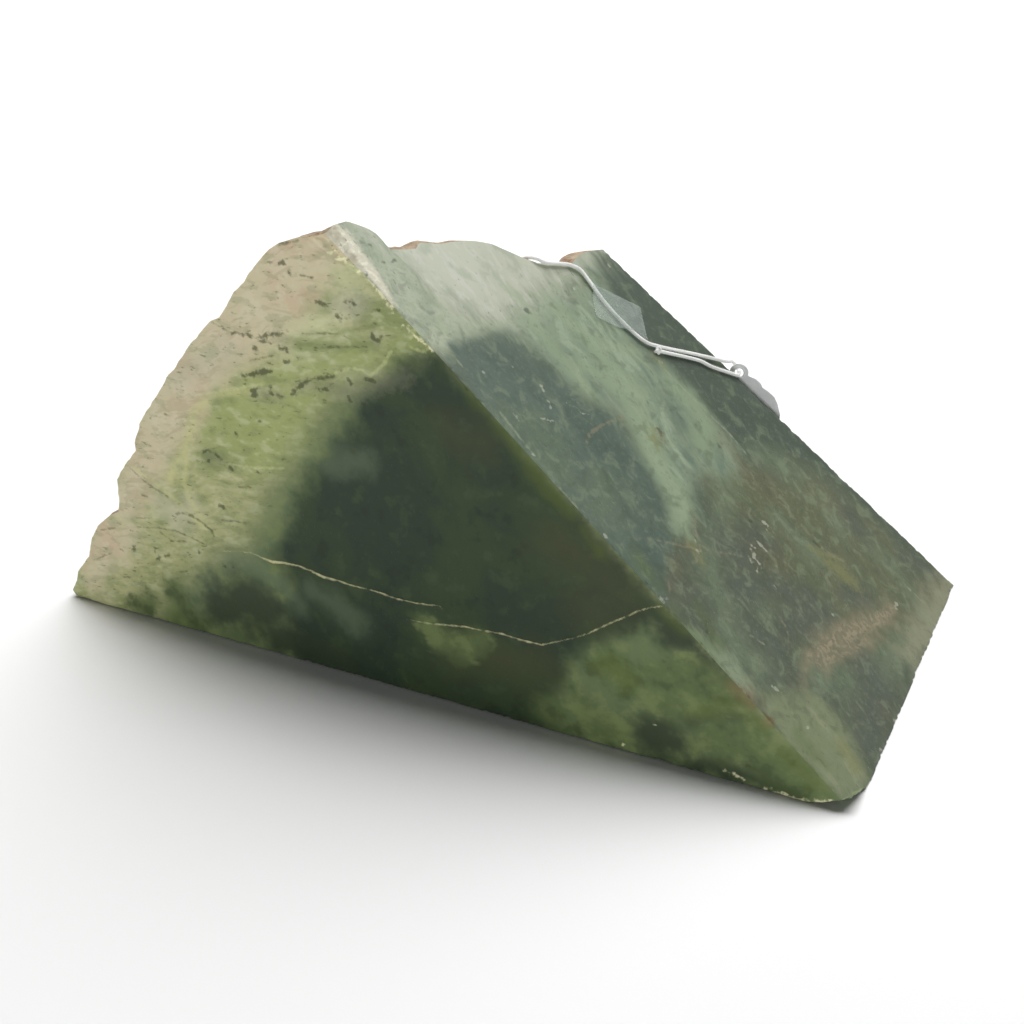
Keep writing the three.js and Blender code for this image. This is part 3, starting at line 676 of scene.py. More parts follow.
SLANT_MARKS = {
    "olive": [
        [(730, 445), (760, 478), (800, 470), (850, 500), (960, 590), (940, 640), (870, 660), (800, 650),
         (760, 600), (740, 560), (725, 520), (700, 490), (700, 455)],
    ],
    "right": [
        [(575, 240), (640, 345), (662, 356), (703, 400), (750, 458), (780, 452), (810, 462), (860, 500),
         (900, 545), (940, 580), (800, 420), (640, 230)],
    ],
    "veil": [
        [(480, 330), (520, 300), (560, 262), (600, 262), (640, 345), (662, 358), (690, 390), (735, 448),
         (742, 470), (720, 480), (700, 470), (684, 530), (670, 530), (664, 500), (648, 470), (632, 430),
         (612, 412), (562, 380), (545, 360), (520, 340)],
    ],
    "pale": [
        [(330, 205), (398, 248), (430, 290), (470, 318), (500, 322), (520, 312), (565, 275), (570, 262),
         (603, 240), (500, 200)],
    ],
    "strip": [
        [(330, 205), (398, 248), (432, 292), (478, 322), (488, 334), (462, 342), (450, 356), (420, 345)],
    ],
    "blue": [
        [(447, 358), (452, 346), (478, 340), (490, 334), (508, 333), (524, 342), (545, 360), (562, 382),
         (580, 397), (622, 424), (660, 492), (667, 515), (668, 545), (664, 604), (655, 606), (560, 505)],
    ],
    "navy": [
        [(490, 352, 5), (515, 360, 6), (540, 380, 5)], [(575, 415, 4), (595, 440, 5), (615, 455, 5)],
        [(628, 500, 6), (645, 520, 6), (655, 500, 3)], [(648, 560, 4), (656, 585, 4)],
        [(558, 350, 1.6), (590, 385, 1)], [(598, 385, 1.4), (622, 405, 1.4)],
        [(668, 395, 2.4), (690, 455, 2)], [(688, 500, 2), (704, 512, 2.6), (700, 490, 2)],
    ],
    "fern": [
        [(505, 412, 3), (530, 440, 4), (560, 470, 4)], [(520, 420, 4), (555, 440, 4)],
        [(590, 490, 3), (610, 480, 3), (600, 505, 3)], [(625, 555, 2), (640, 575, 2)],
    ],
    "band": [
        [(560, 312, 3), (590, 340, 4), (612, 368, 4.5), (636, 392, 5)],
        [(585, 365, 3), (605, 378, 3), (632, 400, 5), (650, 448, 4.5), (676, 490, 5), (680, 508, 5),
         (680, 525, 3)],
        [(672, 385, 3), (694, 405, 4), (706, 425, 4), (702, 445, 3)],
        [(528, 318, 2), (548, 340, 2.6), (590, 392, 2)],
    ],
    "glow": [
        [(640, 412, 2), (646, 428, 2.6), (650, 444, 2.2)],
        [(655, 458, 1.4), (670, 482, 2.4), (682, 502, 2.6), (683, 516, 1.6)],
        [(570, 362, 1), (580, 378, 1.4), (590, 390, 0.8)],
        [(612, 375, 1.2), (628, 388, 1.6), (640, 396, 1)],
        [(505, 285, 0.6), (520, 302, 1), (535, 316, 0.8)],
        [(546, 300, 0.6), (562, 318, 0.8), (580, 328, 0.6)], [(640, 350, 1), (600, 345, 0.8)],
        [(432, 326, 0.3), (452, 334, 0.3)],
        [(462, 336, 0.4), (478, 330, 0.6), (495, 327, 0.6), (508, 322, 0.5)],
        [(512, 335, 0.3), (528, 345, 0.4)], [(696, 640, 3), (712, 655, 4), (732, 668, 4), (742, 680, 3)],
    ],
    "sage": [
        [(690, 402, 3), (704, 425, 4), (706, 446, 3)], [(758, 452, 4), (778, 462, 5), (792, 475, 4)],
        [(800, 480, 4), (822, 500, 4), (838, 525, 4)], [(728, 492, 4), (718, 515, 3), (712, 540, 3)],
        [(706, 550, 3), (712, 575, 4.5), (730, 630, 5), (745, 655, 5), (765, 670, 4)],
        [(775, 515, 3), (812, 555, 4)], [(755, 592, 3), (764, 610, 3.5)], [(875, 552, 3), (892, 565, 3.4)],
        [(898, 575, 2.4), (926, 612, 3.4)], [(900, 645, 4), (880, 670, 4), (915, 640, 3)],
        [(815, 675, 4), (850, 680, 4)],
    ],
    "dusk": [
        [(728, 545, 5), (742, 558, 5), (755, 535, 5), (768, 545, 4)],
        [(742, 590, 5), (770, 585, 5), (800, 600, 6), (825, 612, 5), (790, 625, 6)],
        [(845, 596, 2), (870, 600, 2)], [(862, 660, 5), (880, 690, 6), (868, 745, 4)],
        [(700, 600, 2.4), (704, 625, 3), (708, 640, 2)], [(848, 515, 4), (858, 530, 4)],
        [(905, 560, 3), (925, 572, 3)], [(775, 645, 4), (752, 630, 3)],
        (775, 678, 2),
    ],
    "brown": [
        [(722, 440, 3), (752, 478, 4), (772, 492, 4)],
        [(560, 268, 3.5), (548, 264, 3), (575, 282, 3), (572, 292, 2)], [(448, 250, 3), (456, 258, 2.6)],
        [(670, 560, 3), (674, 585, 3)], [(640, 410, 1), (622, 416, 2), (605, 420, 1.6)],
        [(640, 350, 1.4), (655, 362, 1.8)], [(815, 495, 4), (830, 505, 4)],
        [(936, 585, 3), (944, 592, 3), (932, 600, 3)], [(882, 722, 2), (888, 712, 2)],
        [(760, 555, 3), (780, 560, 3)], [(735, 690, 3), (752, 706, 3)], [(684, 505, 0.8), (690, 540, 2)],
    ],
    "lemon": [
        [(828, 562, 2), (840, 570, 3), (854, 584, 2)], [(812, 548, 1), (826, 556, 1.4), (840, 560, 1)],
        [(652, 430, 1.4), (656, 446, 1.4)], [(692, 545, 1), (698, 552, 1.6), (700, 560, 1)],
        [(656, 358, 1.4), (662, 364, 1)], [(842, 745, 2), (855, 765, 2.4)],
    ],
    "pink": [
        [(810, 658, 2), (845, 634, 3.6), (862, 626, 2.8), (880, 618, 3), (893, 608, 1.6)],
        [(820, 664, 2), (842, 650, 2.4), (868, 640, 2)], [(806, 668, 0.8), (800, 680, 0.6)],
        [(738, 688, 1.2), (748, 698, 1.6)],
        (878, 632, 1),
    ],
    "tongue": [
        [(762, 706), (775, 700), (800, 696), (820, 700), (836, 716), (872, 780), (862, 798), (840, 804),
         (790, 752)],
    ],
    "toe": [
        [(955, 570), (935, 580), (898, 650), (915, 670), (950, 640), (965, 600)],
    ],
    "rust": [
        [(737, 686, 0.6), (742, 692, 0.8), (748, 698, 0.6)], [(768, 718, 1), (772, 726, 0.8)],
        [(659, 430, 0.6), (664, 440, 0.8)],
        (660, 434, 0.4),
    ],
    "vein": [
        [(628, 537, 0.1), (652, 539, 0.25), (670, 543, 0.2), (692, 548, 0.25), (720, 552, 0.12),
         (742, 556, 0.1)],
        [(586, 443, 0.2), (590, 434, 0.35), (598, 427, 0.4), (610, 421, 0.3), (624, 419, 0.25)],
        [(818, 545, 0.3), (832, 555, 0.5), (842, 561, 0.4)],
        [(695, 518, 0.15), (696, 532, 0.3), (700, 548, 0.5), (696, 562, 0.3)],
        [(788, 505, 0.15), (790, 517, 0.2)], [(779, 502, 0.2), (786, 507, 0.2)],
        [(668, 580, 0.15), (670, 590, 0.2)], [(776, 612, 0.12), (788, 630, 0.12), (788, 648, 0.12)],
    ],
    "crease": [
        [(658, 362, 0.2), (670, 375, 0.2), (685, 390, 0.25), (700, 405, 0.15), (716, 421, 0.2),
         (725, 429, 0.2), (735, 440, 0.3), (746, 454, 0.2)],
        [(765, 645, 0.12), (750, 635, 0.15)], [(440, 338, 0.15), (449, 350, 0.25), (462, 366, 0.15)],
        [(500, 412, 0.2), (520, 438, 0.2), (534, 455, 0.3)],
        [(560, 488, 0.2), (567, 496, 0.35), (580, 512, 0.2)], [(664, 612, 0.4), (678, 628, 0.3)],
        [(790, 746, 0.2), (800, 758, 0.3), (818, 780, 0.3), (832, 797, 0.4)],
        [(900, 580, 0.12), (925, 604, 0.12)],
    ],
    "fleck": [
        [(763, 522, 0.2), (768, 525, 0.2), (767, 530, 0.15)],
        [(758, 543, 0.3), (762, 545, 0.2), (765, 549, 0.25)],
        [(750, 549, 0.25), (755, 553, 0.3), (753, 557, 0.25), (758, 562, 0.3), (762, 569, 0.15)],
        [(751, 545, 0.15), (754, 547, 0.2)], [(757, 566, 0.2), (757, 572, 0.15)],
        [(749, 556, 0.2), (751, 560, 0.15)], [(662, 602, 0.8), (666, 598, 0.5), (660, 606, 0.5)],
        [(698, 550, 0.5), (700, 554, 0.4)], [(897, 604, 0.5), (895, 608, 0.3)],
        [(778, 690, 0.5), (772, 686, 0.25)], [(541, 385, 0.15), (544, 392, 0.15)],
        [(567, 404, 0.1), (572, 407, 0.2)], [(578, 412, 0.15), (588, 415, 0.2)],
        [(549, 402, 0.2), (551, 408, 0.15)], [(541, 419, 0.1), (554, 421, 0.15)],
        [(512, 411, 0.1), (518, 420, 0.15)], [(563, 274, 0.4), (568, 273, 0.3)],
        [(657, 360, 0.5), (662, 362, 0.3)], [(509, 276, 0.6), (516, 275, 0.5), (522, 272, 0.4)],
        (776, 568, 0.5), (751, 561, 0.3), (696, 540, 0.3), (832, 614, 0.25), (774, 586, 0.25),
        (894, 720, 0.3), (881, 750, 0.3), (485, 373, 0.25), (512, 367, 0.2), (574, 288, 0.5),
        (609, 266, 0.5), (590, 302, 0.3), (443, 354, 0.3), (605, 536, 0.5), (707, 652, 0.4),
        (790, 746, 0.4), (808, 728, 0.3), (534, 455, 0.4),
    ],
    "spot": [
        [(392, 262, 0.3), (395, 260, 0.3)], [(364, 258, 0.4), (369, 262, 0.4)],
        [(814, 542, 0.5), (819, 546, 0.5)], [(657, 428, 0.4), (664, 434, 0.5)],
        [(706, 622, 0.3), (707, 634, 0.4)], [(344, 240, 0.4), (351, 243, 0.3)],
        (527, 311, 1), (384, 262, 0.3), (450, 273, 0.3), (478, 257, 0.3), (377, 270, 0.4), (370, 245, 0.4),
        (833, 560, 0.4), (751, 522, 0.4), (762, 536, 0.4), (767, 559, 0.5), (719, 446, 0.7),
        (648, 403, 0.4), (736, 685, 0.3), (749, 698, 0.3),
    ],
    # The crumbled ridge top: its own pale colour, painted brighter still as painted light that cancels the
    # shade on the broken corner, which faces the front.
    "crest": [
        [(330, 226, 3), (342, 238, 3.6), (354, 252, 3.2), (366, 266, 2.6), (380, 284, 1.8),
         (392, 302, 0.8)],
    ],
    "shelf": [
        [(398, 248, 0.3), (404, 255, 0.3), (412, 265, 0.35), (421, 276, 0.3), (430, 285, 0.3),
         (437, 291, 0.2)],
    ],
    "green": [
        [(676, 614, 1.4), (695, 634, 1.6), (712, 658, 1.6)], [(700, 610, 2), (715, 640, 3)],
        [(640, 560, 2), (655, 585, 2)], [(798, 735, 2), (818, 760, 2)],
    ],
}


# Sums


def smoothstep(value, low, high):
    share = np.clip((value - low) / (high - low), 0, 1)
    return share * share * (3 - 2 * share)


def unit(vector):
    return np.asarray(vector, float) / np.linalg.norm(vector)


def table_at(table, position, column=1):
    """Value of a table of (position, value, ...) rows, by straight lines between rows."""
    return np.interp(position, [row[0] for row in table], [row[column] for row in table])


def fractal(points, size, octaves=3):
    """Fractal noise at each point, about from -1 to 1."""
    return np.array([noise.fractal(Vector(p) / size, 1.0, 2.0, octaves) for p in points])


def turns(count):
    """Angles once round, evenly spaced."""
    return 2 * math.pi * np.arange(count) / count


def inside_loop(points, loop):
    """Which points lie inside a closed loop, by counting the crossings to their right."""
    inside = np.zeros(len(points), bool)
    for (ax, ay), (bx, by) in zip(loop, np.roll(loop, -1, axis=0)):
        spans = (ay > points[:, 1]) != (by > points[:, 1])
        if by != ay:
            crossing = (bx - ax) * (points[:, 1] - ay) / (by - ay) + ax
            inside ^= spans & (points[:, 0] < crossing)
    return inside


def distance_to_line(points, line, widths=None):
    """Distance from each point to a line of straight stretches, less its half width there."""
    widths = np.zeros(len(line)) if widths is None else widths
    if len(line) == 1:
        line, widths = np.repeat(line, 2, axis=0), np.repeat(widths, 2)
    best = np.full(len(points), np.inf)
    for a, b, wide_a, wide_b in zip(line, line[1:], widths, widths[1:]):
        step = b - a
        share = np.clip((points - a) @ step / max(step @ step, TINY), 0, 1)
        away = np.linalg.norm(points - a - share[:, None] * step, axis=1)
        best = np.minimum(best, away - wide_a - share * (wide_b - wide_a))
    return best


def distance_to_dots(points, spots):
    """Distance from each point to the nearest of many spots, a block of points at a time."""
    found = [np.zeros(0)]
    for start in range(0, len(points), BLOCK_SIZE):
        block = points[start:start + BLOCK_SIZE]
        square = ((block[:, None, :] - spots[None, :, :]) ** 2).sum(axis=2)
        found.append(np.sqrt(square.min(axis=1)))
    return np.concatenate(found)


# Cuts


SLANT_NORMAL = unit(np.cross(TOE_BACK - TOE_FRONT, RIDGE_TOP - TOE_FRONT))
SLANT_NORMAL = SLANT_NORMAL * np.sign(SLANT_NORMAL[2])
BACK_NORMAL = np.array([-math.sin(BACK_TURN), math.cos(BACK_TURN), 0])

# The four saw cuts, each as a point of its plane and its normal pointing out of the stone
CUTS = {
    "front": (np.zeros(3), np.array([0.0, -1, 0])),
    "slant": (TOE_FRONT, SLANT_NORMAL),
    "back": (TOE_BACK, BACK_NORMAL),
    "base": (np.zeros(3), np.array([0.0, 0, -1])),
}


def slant_height(x, y):
    """Height of the slanted cut above a place in plan."""
    along = SLANT_NORMAL[0] * (x - TOE_FRONT[0]) + SLANT_NORMAL[1] * (y - TOE_FRONT[1])
    return -along / SLANT_NORMAL[2]


def on_slant(x, y):
    return np.array([x, y, slant_height(x, y)])


# The sawn edges: their ends, the cuts that meet there, and their share of the full wear
ARRISES = [
    (RIDGE_TOP, TOE_FRONT, "front", "slant", 1.0),
    (TOE_FRONT, TOE_BACK, "slant", "base", 0.9),
    (on_slant(*BACK_CORNER), TOE_BACK, "back", "slant", 0.7),
    (np.zeros(3), TOE_FRONT, "front", "base", 0.7),
    (BACK_FOOT, TOE_BACK, "back", "base", 0.7),
]


def plane_axes(normal):
    """Two directions in a plane, turning from the first to the second about its normal."""
    first = unit(np.cross((0, 1, 0) if abs(normal[1]) < LEVEL_ENOUGH else (0, 0, 1), normal))
    return np.array([first, np.cross(normal, first)])


# Camera


def seen_on(pixels, cut):
    """Where the sight lines through pixels of the photograph meet a saw cut."""
    right = np.array([math.cos(CAMERA_AZIMUTH), math.sin(CAMERA_AZIMUTH), 0])
    level = math.cos(CAMERA_PITCH)
    forward = np.array([
        -math.sin(CAMERA_AZIMUTH) * level,
        math.cos(CAMERA_AZIMUTH) * level,
        -math.sin(CAMERA_PITCH),
    ])
    up = np.cross(right, forward)
    origin, normal = CUTS[cut]
    pixels = np.asarray(pixels, float) - PHOTO_SIZE / 2
    sight = np.outer(pixels[:, 0], right) - np.outer(pixels[:, 1], up) + FOCAL_PIXELS * forward
    eye = np.array(CAMERA_PLACE)
    reach = ((origin - eye) @ normal) / (sight @ normal)
    return eye + sight * reach[:, None]


def add_camera():
    data = bpy.data.cameras.new("photo_camera")
    data.sensor_width = SENSOR_WIDTH
    data.lens = SENSOR_WIDTH * FOCAL_PIXELS / PHOTO_SIZE
    camera = bpy.data.objects.new("photo_camera", data)
    camera.location = to_frame([CAMERA_PLACE])[0]
    camera.rotation_euler = (math.pi / 2 - CAMERA_PITCH, 0, CAMERA_AZIMUTH)
    bpy.context.scene.collection.objects.link(camera)
    bpy.context.scene.camera = camera


# Pieces


def to_frame(points):
    """Millimetres from the stone's corner as metres in the frame."""
    return np.asarray(points, float) * MM + CORNER


def add_piece(name, points, faces, material, smooth_angle=None):
    """A mesh object that rides on the part's one body."""
    mesh = bpy.data.meshes.new(name)
    mesh.from_pydata(to_frame(points).tolist(), [], [list(map(int, face)) for face in faces])
    mesh.validate()
    mesh.shade_smooth()
    if smooth_angle:
        mesh.set_sharp_from_angle(angle=math.radians(smooth_angle))
    mesh.materials.append(material)
    piece = bpy.data.objects.new(name, mesh)
    bpy.context.scene.collection.objects.link(piece)
    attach(piece, "root")
    return piece


def grid_faces(rows, columns):
    """The squares of a grid of points that are numbered row after row."""
    corners = [i * columns + j for i in range(rows - 1) for j in range(columns - 1)]
    return [(a, a + 1, a + columns + 1, a + columns) for a in corners]


def tube_faces(rings, sides, closed):
    """The squares of a tube whose points are numbered ring after ring, and its flat ends."""
    faces = []
    for ring in range(rings if closed else rings - 1):
        here, there = ring * sides, ((ring + 1) % rings) * sides
        for k in range(sides):
            after = (k + 1) % sides
            faces.append((here + k, here + after, there + after, there + k))
    if not closed:
        faces.append(tuple(range(sides))[::-1])
        faces.append(tuple(range((rings - 1) * sides, rings * sides)))
    return faces


def thick_faces(faces, edges, count):
    """A sheet's faces, those of its other side, numbered a count on, and the walls between."""
    other_side = [tuple(count + k for k in reversed(face)) for face in faces]
    return [*faces, *other_side, *[(a, b, count + b, count + a) for a, b in edges]]


# String


def smooth_route(route, per_gap):
    """Points of the centripetal Catmull-Rom curve through a route."""
    route = np.array(route, float)
    ends = [2 * route[0] - route[1], *route, 2 * route[-1] - route[-2]]
    found = []
    for a, b, c, d in zip(ends, ends[1:], ends[2:], ends[3:]):
        ab, bc, cd = [math.sqrt(np.linalg.norm(q - p)) for p, q in ((a, b), (b, c), (c, d))]
        leave = bc * ((b - a) / ab - (c - a) / (ab + bc) + (c - b) / bc)
        arrive = bc * ((c - b) / bc - (d - b) / (bc + cd) + (d - c) / cd)
        for share in np.arange(per_gap) / per_gap:
            cubic = 2 * (b - c) + leave + arrive
            square = 3 * (c - b) - 2 * leave - arrive
            found.append(b + share * (leave + share * (square + share * cubic)))
    return np.array(found + [route[-1]])


def evenly(points, step):
    """The same line again, with points a step apart."""
    gaps = np.linalg.norm(np.diff(points, axis=0), axis=1)
    along = np.concatenate([[0], np.cumsum(gaps)])
    places = np.linspace(0, along[-1], int(round(along[-1] / step)) + 1)
    return np.stack([np.interp(places, along, points[:, k]) for k in range(3)], axis=1)


def rings_along(line):
    """Two directions across the line at each point, turning as little as they can."""
    ahead = np.gradient(line, axis=0)
    ahead /= np.linalg.norm(ahead, axis=1)[:, None]
    side = unit(np.cross(ahead[0], (0, 0, 1)))
    sides = []
    for direction in ahead:
        side = unit(side - direction * (side @ direction))
        sides.append(side)
    sides = np.array(sides)
    return sides, np.cross(ahead, sides)


def strand(line, radius, plies, twist, sides, closed=False):
    """A tube along a line, ribbed by plies that turn round it once in every twist."""
    across, over = rings_along(line)
    step = np.linalg.norm(line[1] - line[0])
    around = turns(sides)
    points = []
    for number, centre in enumerate(line):
        turn = 2 * math.pi * number * step / twist
        rib = STRING_PLY_DEPTH * np.abs(np.cos(plies / 2 * (around - turn)))
        reach = radius * (1 - STRING_PLY_DEPTH + rib)
        points.append(
            centre + np.outer(reach * np.cos(around), across[number])
            + np.outer(reach * np.sin(around), over[number])
        )
    return np.concatenate(points), tube_faces(len(line), sides, closed)


def add_knot(name, place, pull, material):
    """A small tight knot: a trefoil of the same string, pulled long in one direction."""
    turn = turns(KNOT_STEPS)
    trefoil = KNOT_SIZE * np.stack([
        np.sin(turn) + 2 * np.sin(2 * turn),
        np.cos(turn) - 2 * np.cos(2 * turn),
        -np.sin(3 * turn),
    ], axis=1)
    ahead = unit(pull)
    side = unit(np.cross(ahead, KNOT_UP))
    line = np.array(place) + trefoil @ np.array([ahead, np.cross(ahead, side), side])
    points, faces = strand(line, KNOT_STRAND, KNOT_PLIES, KNOT_TWIST, KNOT_SIDES, closed=True)
    return add_piece(name, points, faces, material)


def add_string(material):
    line = evenly(smooth_route(STRING_ROUTE, STRING_CURVE_STEPS), STRING_RING_STEP)
    points, faces = strand(
        line, STRING_DIAMETER / 2, STRING_PLIES, STRING_TWIST, STRING_SIDES
    )
    string = add_piece("string", points, faces, material)
    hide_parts("tag_string")
    return string, line


# Tape


def add_tape(string_line, material):
    """A film on a grid, with serrated ends, that stands up over the string like a tent."""
    level = unit(TOE_BACK - TOE_FRONT)
    down = unit(np.cross(level, SLANT_NORMAL))
    long = level * math.cos(TAPE_TURN) + down * math.sin(TAPE_TURN)
    across = np.cross(SLANT_NORMAL, long)
    off_cut = (string_line - TOE_FRONT) @ SLANT_NORMAL
    on_cut = string_line - np.outer(off_cut, SLANT_NORMAL)
    columns = round(TAPE_LENGTH / TAPE_STEP) + 1
    rows = round(TAPE_WIDTH / TAPE_STEP) + 1
    share_u, share_v = np.meshgrid(
        np.linspace(-1, 1, columns), np.linspace(-1, 1, rows), indexing="ij"
    )
    v = share_v * TAPE_WIDTH / 2
    tooth = np.abs((v / TOOTH_PITCH) % 1 - 0.5) * 2 * TOOTH_HEIGHT
    tooth = np.sign(share_u) * tooth * np.abs(share_u) ** TOOTH_POWER
    u = share_u * TAPE_LENGTH / 2 + tooth
    flat = on_slant(*TAPE_MIDDLE) + u.reshape(-1, 1) * long + v.reshape(-1, 1) * across
    away = distance_to_dots(flat, on_cut)
    lift = TAPE_LIFT + TENT_HEIGHT * np.exp(-((away / TENT_SPREAD) ** 2))
    lift += TAPE_WRINKLE * np.maximum(fractal(flat, TAPE_WRINKLE_SIZE), 0)
    under = flat + np.outer(lift, SLANT_NORMAL)
    points = np.concatenate([under, under + TAPE_THICKNESS * SLANT_NORMAL])
    number = np.arange(len(flat)).reshape(columns, rows)
    border = [*number[:, 0], *number[-1, 1:], *number[-2::-1, -1], *number[0, -2:0:-1]]
    edges = list(zip(border, border[1:] + border[:1]))
    faces = thick_faces(grid_faces(columns, rows), edges, len(flat))
    tape = add_piece("tape", points, faces, material)
    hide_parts("tape_strip")
    return tape


# Tag


def tag_outline():
    """The tag's outline, round the head and down both shoulders."""
    left = [(-u, v) for u, v in reversed(TAG_SHOULDER)]
    head = [
        (HEAD_RADIUS * math.cos(t), HEAD_RADIUS * math.sin(t))
        for t in np.linspace(HEAD_START, math.pi - HEAD_START, HEAD_STEPS)
    ]
    corners = np.array(head + TAG_SHOULDER + left)
    found = []
    for a, b in zip(corners, np.roll(corners, -1, axis=0)):
        pieces = max(1, round(np.linalg.norm(b - a) / TAG_STEP))
        found += [a + (b - a) * k / pieces for k in range(pieces)]
    return np.array(found)


def tag_place(flat, height):
    """Puts a point of the tag, and its height over the tag's middle plane, behind the sawn back."""
    along = np.array([math.cos(BACK_TURN), math.sin(BACK_TURN), 0])
    depth = DEPTH - (TOE_BACK[0] - TAG_EYE[0]) * math.tan(BACK_TURN)
    eye = np.array([TAG_EYE[0], depth, TAG_EYE[1]]) + TAG_STAND_OFF * BACK_NORMAL
    curl = TAG_CURL * flat[:, 0] ** 2 * smoothstep(-flat[:, 1], *TAG_CURL_SPAN)
    return (
        eye + np.outer(flat[:, 0], along) + np.outer(flat[:, 1], (0, 0, 1))
        + np.outer(height + curl, BACK_NORMAL)
    )


def card_plate(outline, eye):
    """A flat card between its outline and its eye, as points and faces."""
    edges = [(k, (k + 1) % len(outline)) for k in range(len(outline))]
    first = len(outline)
    edges += [(first + k, first + (k + 1) % len(eye)) for k in range(len(eye))]
    (left, right), (low, high) = TAG_GRID
    grid = np.array([
        (u, v) for u in np.arange(left, right, TAG_STEP) for v in np.arange(low, high, TAG_STEP)
    ])
    rim = np.concatenate([outline, outline[:1]])
    keep = inside_loop(grid, outline) & (distance_to_line(grid, rim) > TAG_STEP / 2)
    keep &= np.hypot(grid[:, 0], grid[:, 1]) > EYE_RADIUS + TAG_STEP / 2
    dots_in = [Vector(p) for p in np.concatenate([outline, eye, grid[keep]])]
    found = delaunay_2d_cdt(dots_in, edges, [], 1, PLATE_TOUCH)
    flat = np.array([tuple(p) for p in found[0]])
    middles = [flat[list(face)].mean(axis=0) for face in found[2]]
    faces = [face for face, middle in zip(found[2], middles) if np.hypot(*middle) > EYE_RADIUS]
    half = TAG_THICKNESS / 2
    points = np.concatenate([tag_place(flat, half), tag_place(flat, -half)])
    return points, thick_faces(faces, edges, len(flat))


def add_tag(card, washer_material):
    """The card, with a pressed washer round its eye on both sides."""
    round_eye = turns(EYE_SIDES)
    eye = EYE_RADIUS * np.stack([np.cos(round_eye), np.sin(round_eye)], axis=1)
    points, faces = card_plate(tag_outline(), eye)
    tag = add_piece("tag", points, faces, card, smooth_angle=TAG_RIM_ANGLE)
    bevel = tag.modifiers.new("rounded rim", "BEVEL")
    bevel.width = TAG_BEVEL * MM
    bevel.segments = 2
    bevel.limit_method = "ANGLE"
    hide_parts("swing_tag")

    middle = EYE_RADIUS + WASHER_WIDTH / 2 - WASHER_OVERHANG
    around, section = np.meshgrid(turns(WASHER_STEPS), -turns(WASHER_SIDES), indexing="ij")
    reach = (middle + WASHER_WIDTH / 2 * np.cos(section)).ravel()
    around = around.ravel()
    flat = np.stack([reach * np.cos(around), reach * np.sin(around)], axis=1)
    height = (TAG_THICKNESS / 2 + WASHER_HEIGHT) * np.sin(section).ravel()
    faces = tube_faces(WASHER_STEPS, WASHER_SIDES, closed=True)
    washer = add_piece("tag_washer", tag_place(flat, height), faces, washer_material)
    return tag, washer


# Rind


def rind_relief(x, y, z):
    """How far the lumps and pits of the rind stand out at a point."""
    relief = np.zeros_like(x)
    up = FLANK_LEAN[0] * x + FLANK_LEAN[1] * z
    for wavelength, height, turn, phase in LUMP_WAVES:
        along = y * math.cos(turn) + up * math.sin(turn)
        across = up * math.cos(turn) - y * math.sin(turn)
        sway = 2 * math.pi * across / (LUMP_BEND_LENGTH * wavelength) + 2 * phase
        bend = LUMP_BEND * np.sin(sway)
        relief += height * np.sin(2 * math.pi * along / wavelength + phase + bend)
    for pit_y, pit_z in PIT_CENTRES:
        away = np.hypot(y - pit_y, z - pit_z) / PIT_RADIUS
        relief -= PIT_DEPTH * np.exp(-away * away)
    return relief


def rind_points(outline, depths):
    """The rind as rows of points: the front outline, carried back to each depth."""
    outline_x, outline_z = outline[:, 0][None, :], outline[:, 1][None, :]
    depth = depths[:, None] + 0 * outline_x
    y = np.maximum(depth, 0)
    rise = outline_z / RIDGE_HEIGHT + 0 * y
    crest_x = table_at(CREST, y, 1)
    crest_z = slant_height(crest_x, y) - table_at(CREST, y, 2) / SLANT_NORMAL[2]
    foot_x = FOOT_DRIFT * (y / FOOT_DRIFT_DEPTH) ** FOOT_DRIFT_POWER
    off_chord = outline_x - RIDGE_TOP[0] * rise
    from_front = smoothstep(y, 0, RELIEF_START_DEPTH)
    deep = smoothstep(y, 0, FLANK_DEPTH)
    middle = np.sin(math.pi * rise)
    x = foot_x + (crest_x - foot_x) * rise + off_chord * (1 - OUTLINE_LOSS * deep)
    up_brow = (rise - BROW_RISE) / BROW_RISE_SPREAD
    away = np.hypot(up_brow, (y - BROW_DEPTH) / BROW_DEPTH_SPREAD)
    z = crest_z * rise + BROW_LIFT * np.exp(-away * away)
    relief = rind_relief(x, y, z) * from_front * np.sqrt(np.maximum(middle, 0))
    out = FLANK_BELLY * deep * middle + relief
    rind = np.stack([x - out, depth, z], axis=2)
    flat = rind.reshape(-1, 3)
    crumbly = np.maximum(smoothstep(y, 0, CRUMB_START), CRUMB_FRONT_SHARE)
    crumbly *= CRUMB_CREST_SHARE + (1 - CRUMB_CREST_SHARE) * middle
    for size, height in CRUMBS:
        crumb = (fractal(flat, size) * height).reshape(y.shape) * crumbly
        rind[:, :, 0] -= crumb
        rind[:, :, 2] += CRUMB_RISE * crumb * middle
    return rind


def spaced(corners, step):
    """A line through corners, with points no further apart than a step."""
    corners = np.array(corners, float)
    found = []
    for a, b in zip(corners, corners[1:]):
        pieces = math.ceil(np.linalg.norm(b - a) / step)
        found += [a + (b - a) * k / pieces for k in range(pieces)]
    return np.array(found + [corners[-1]])


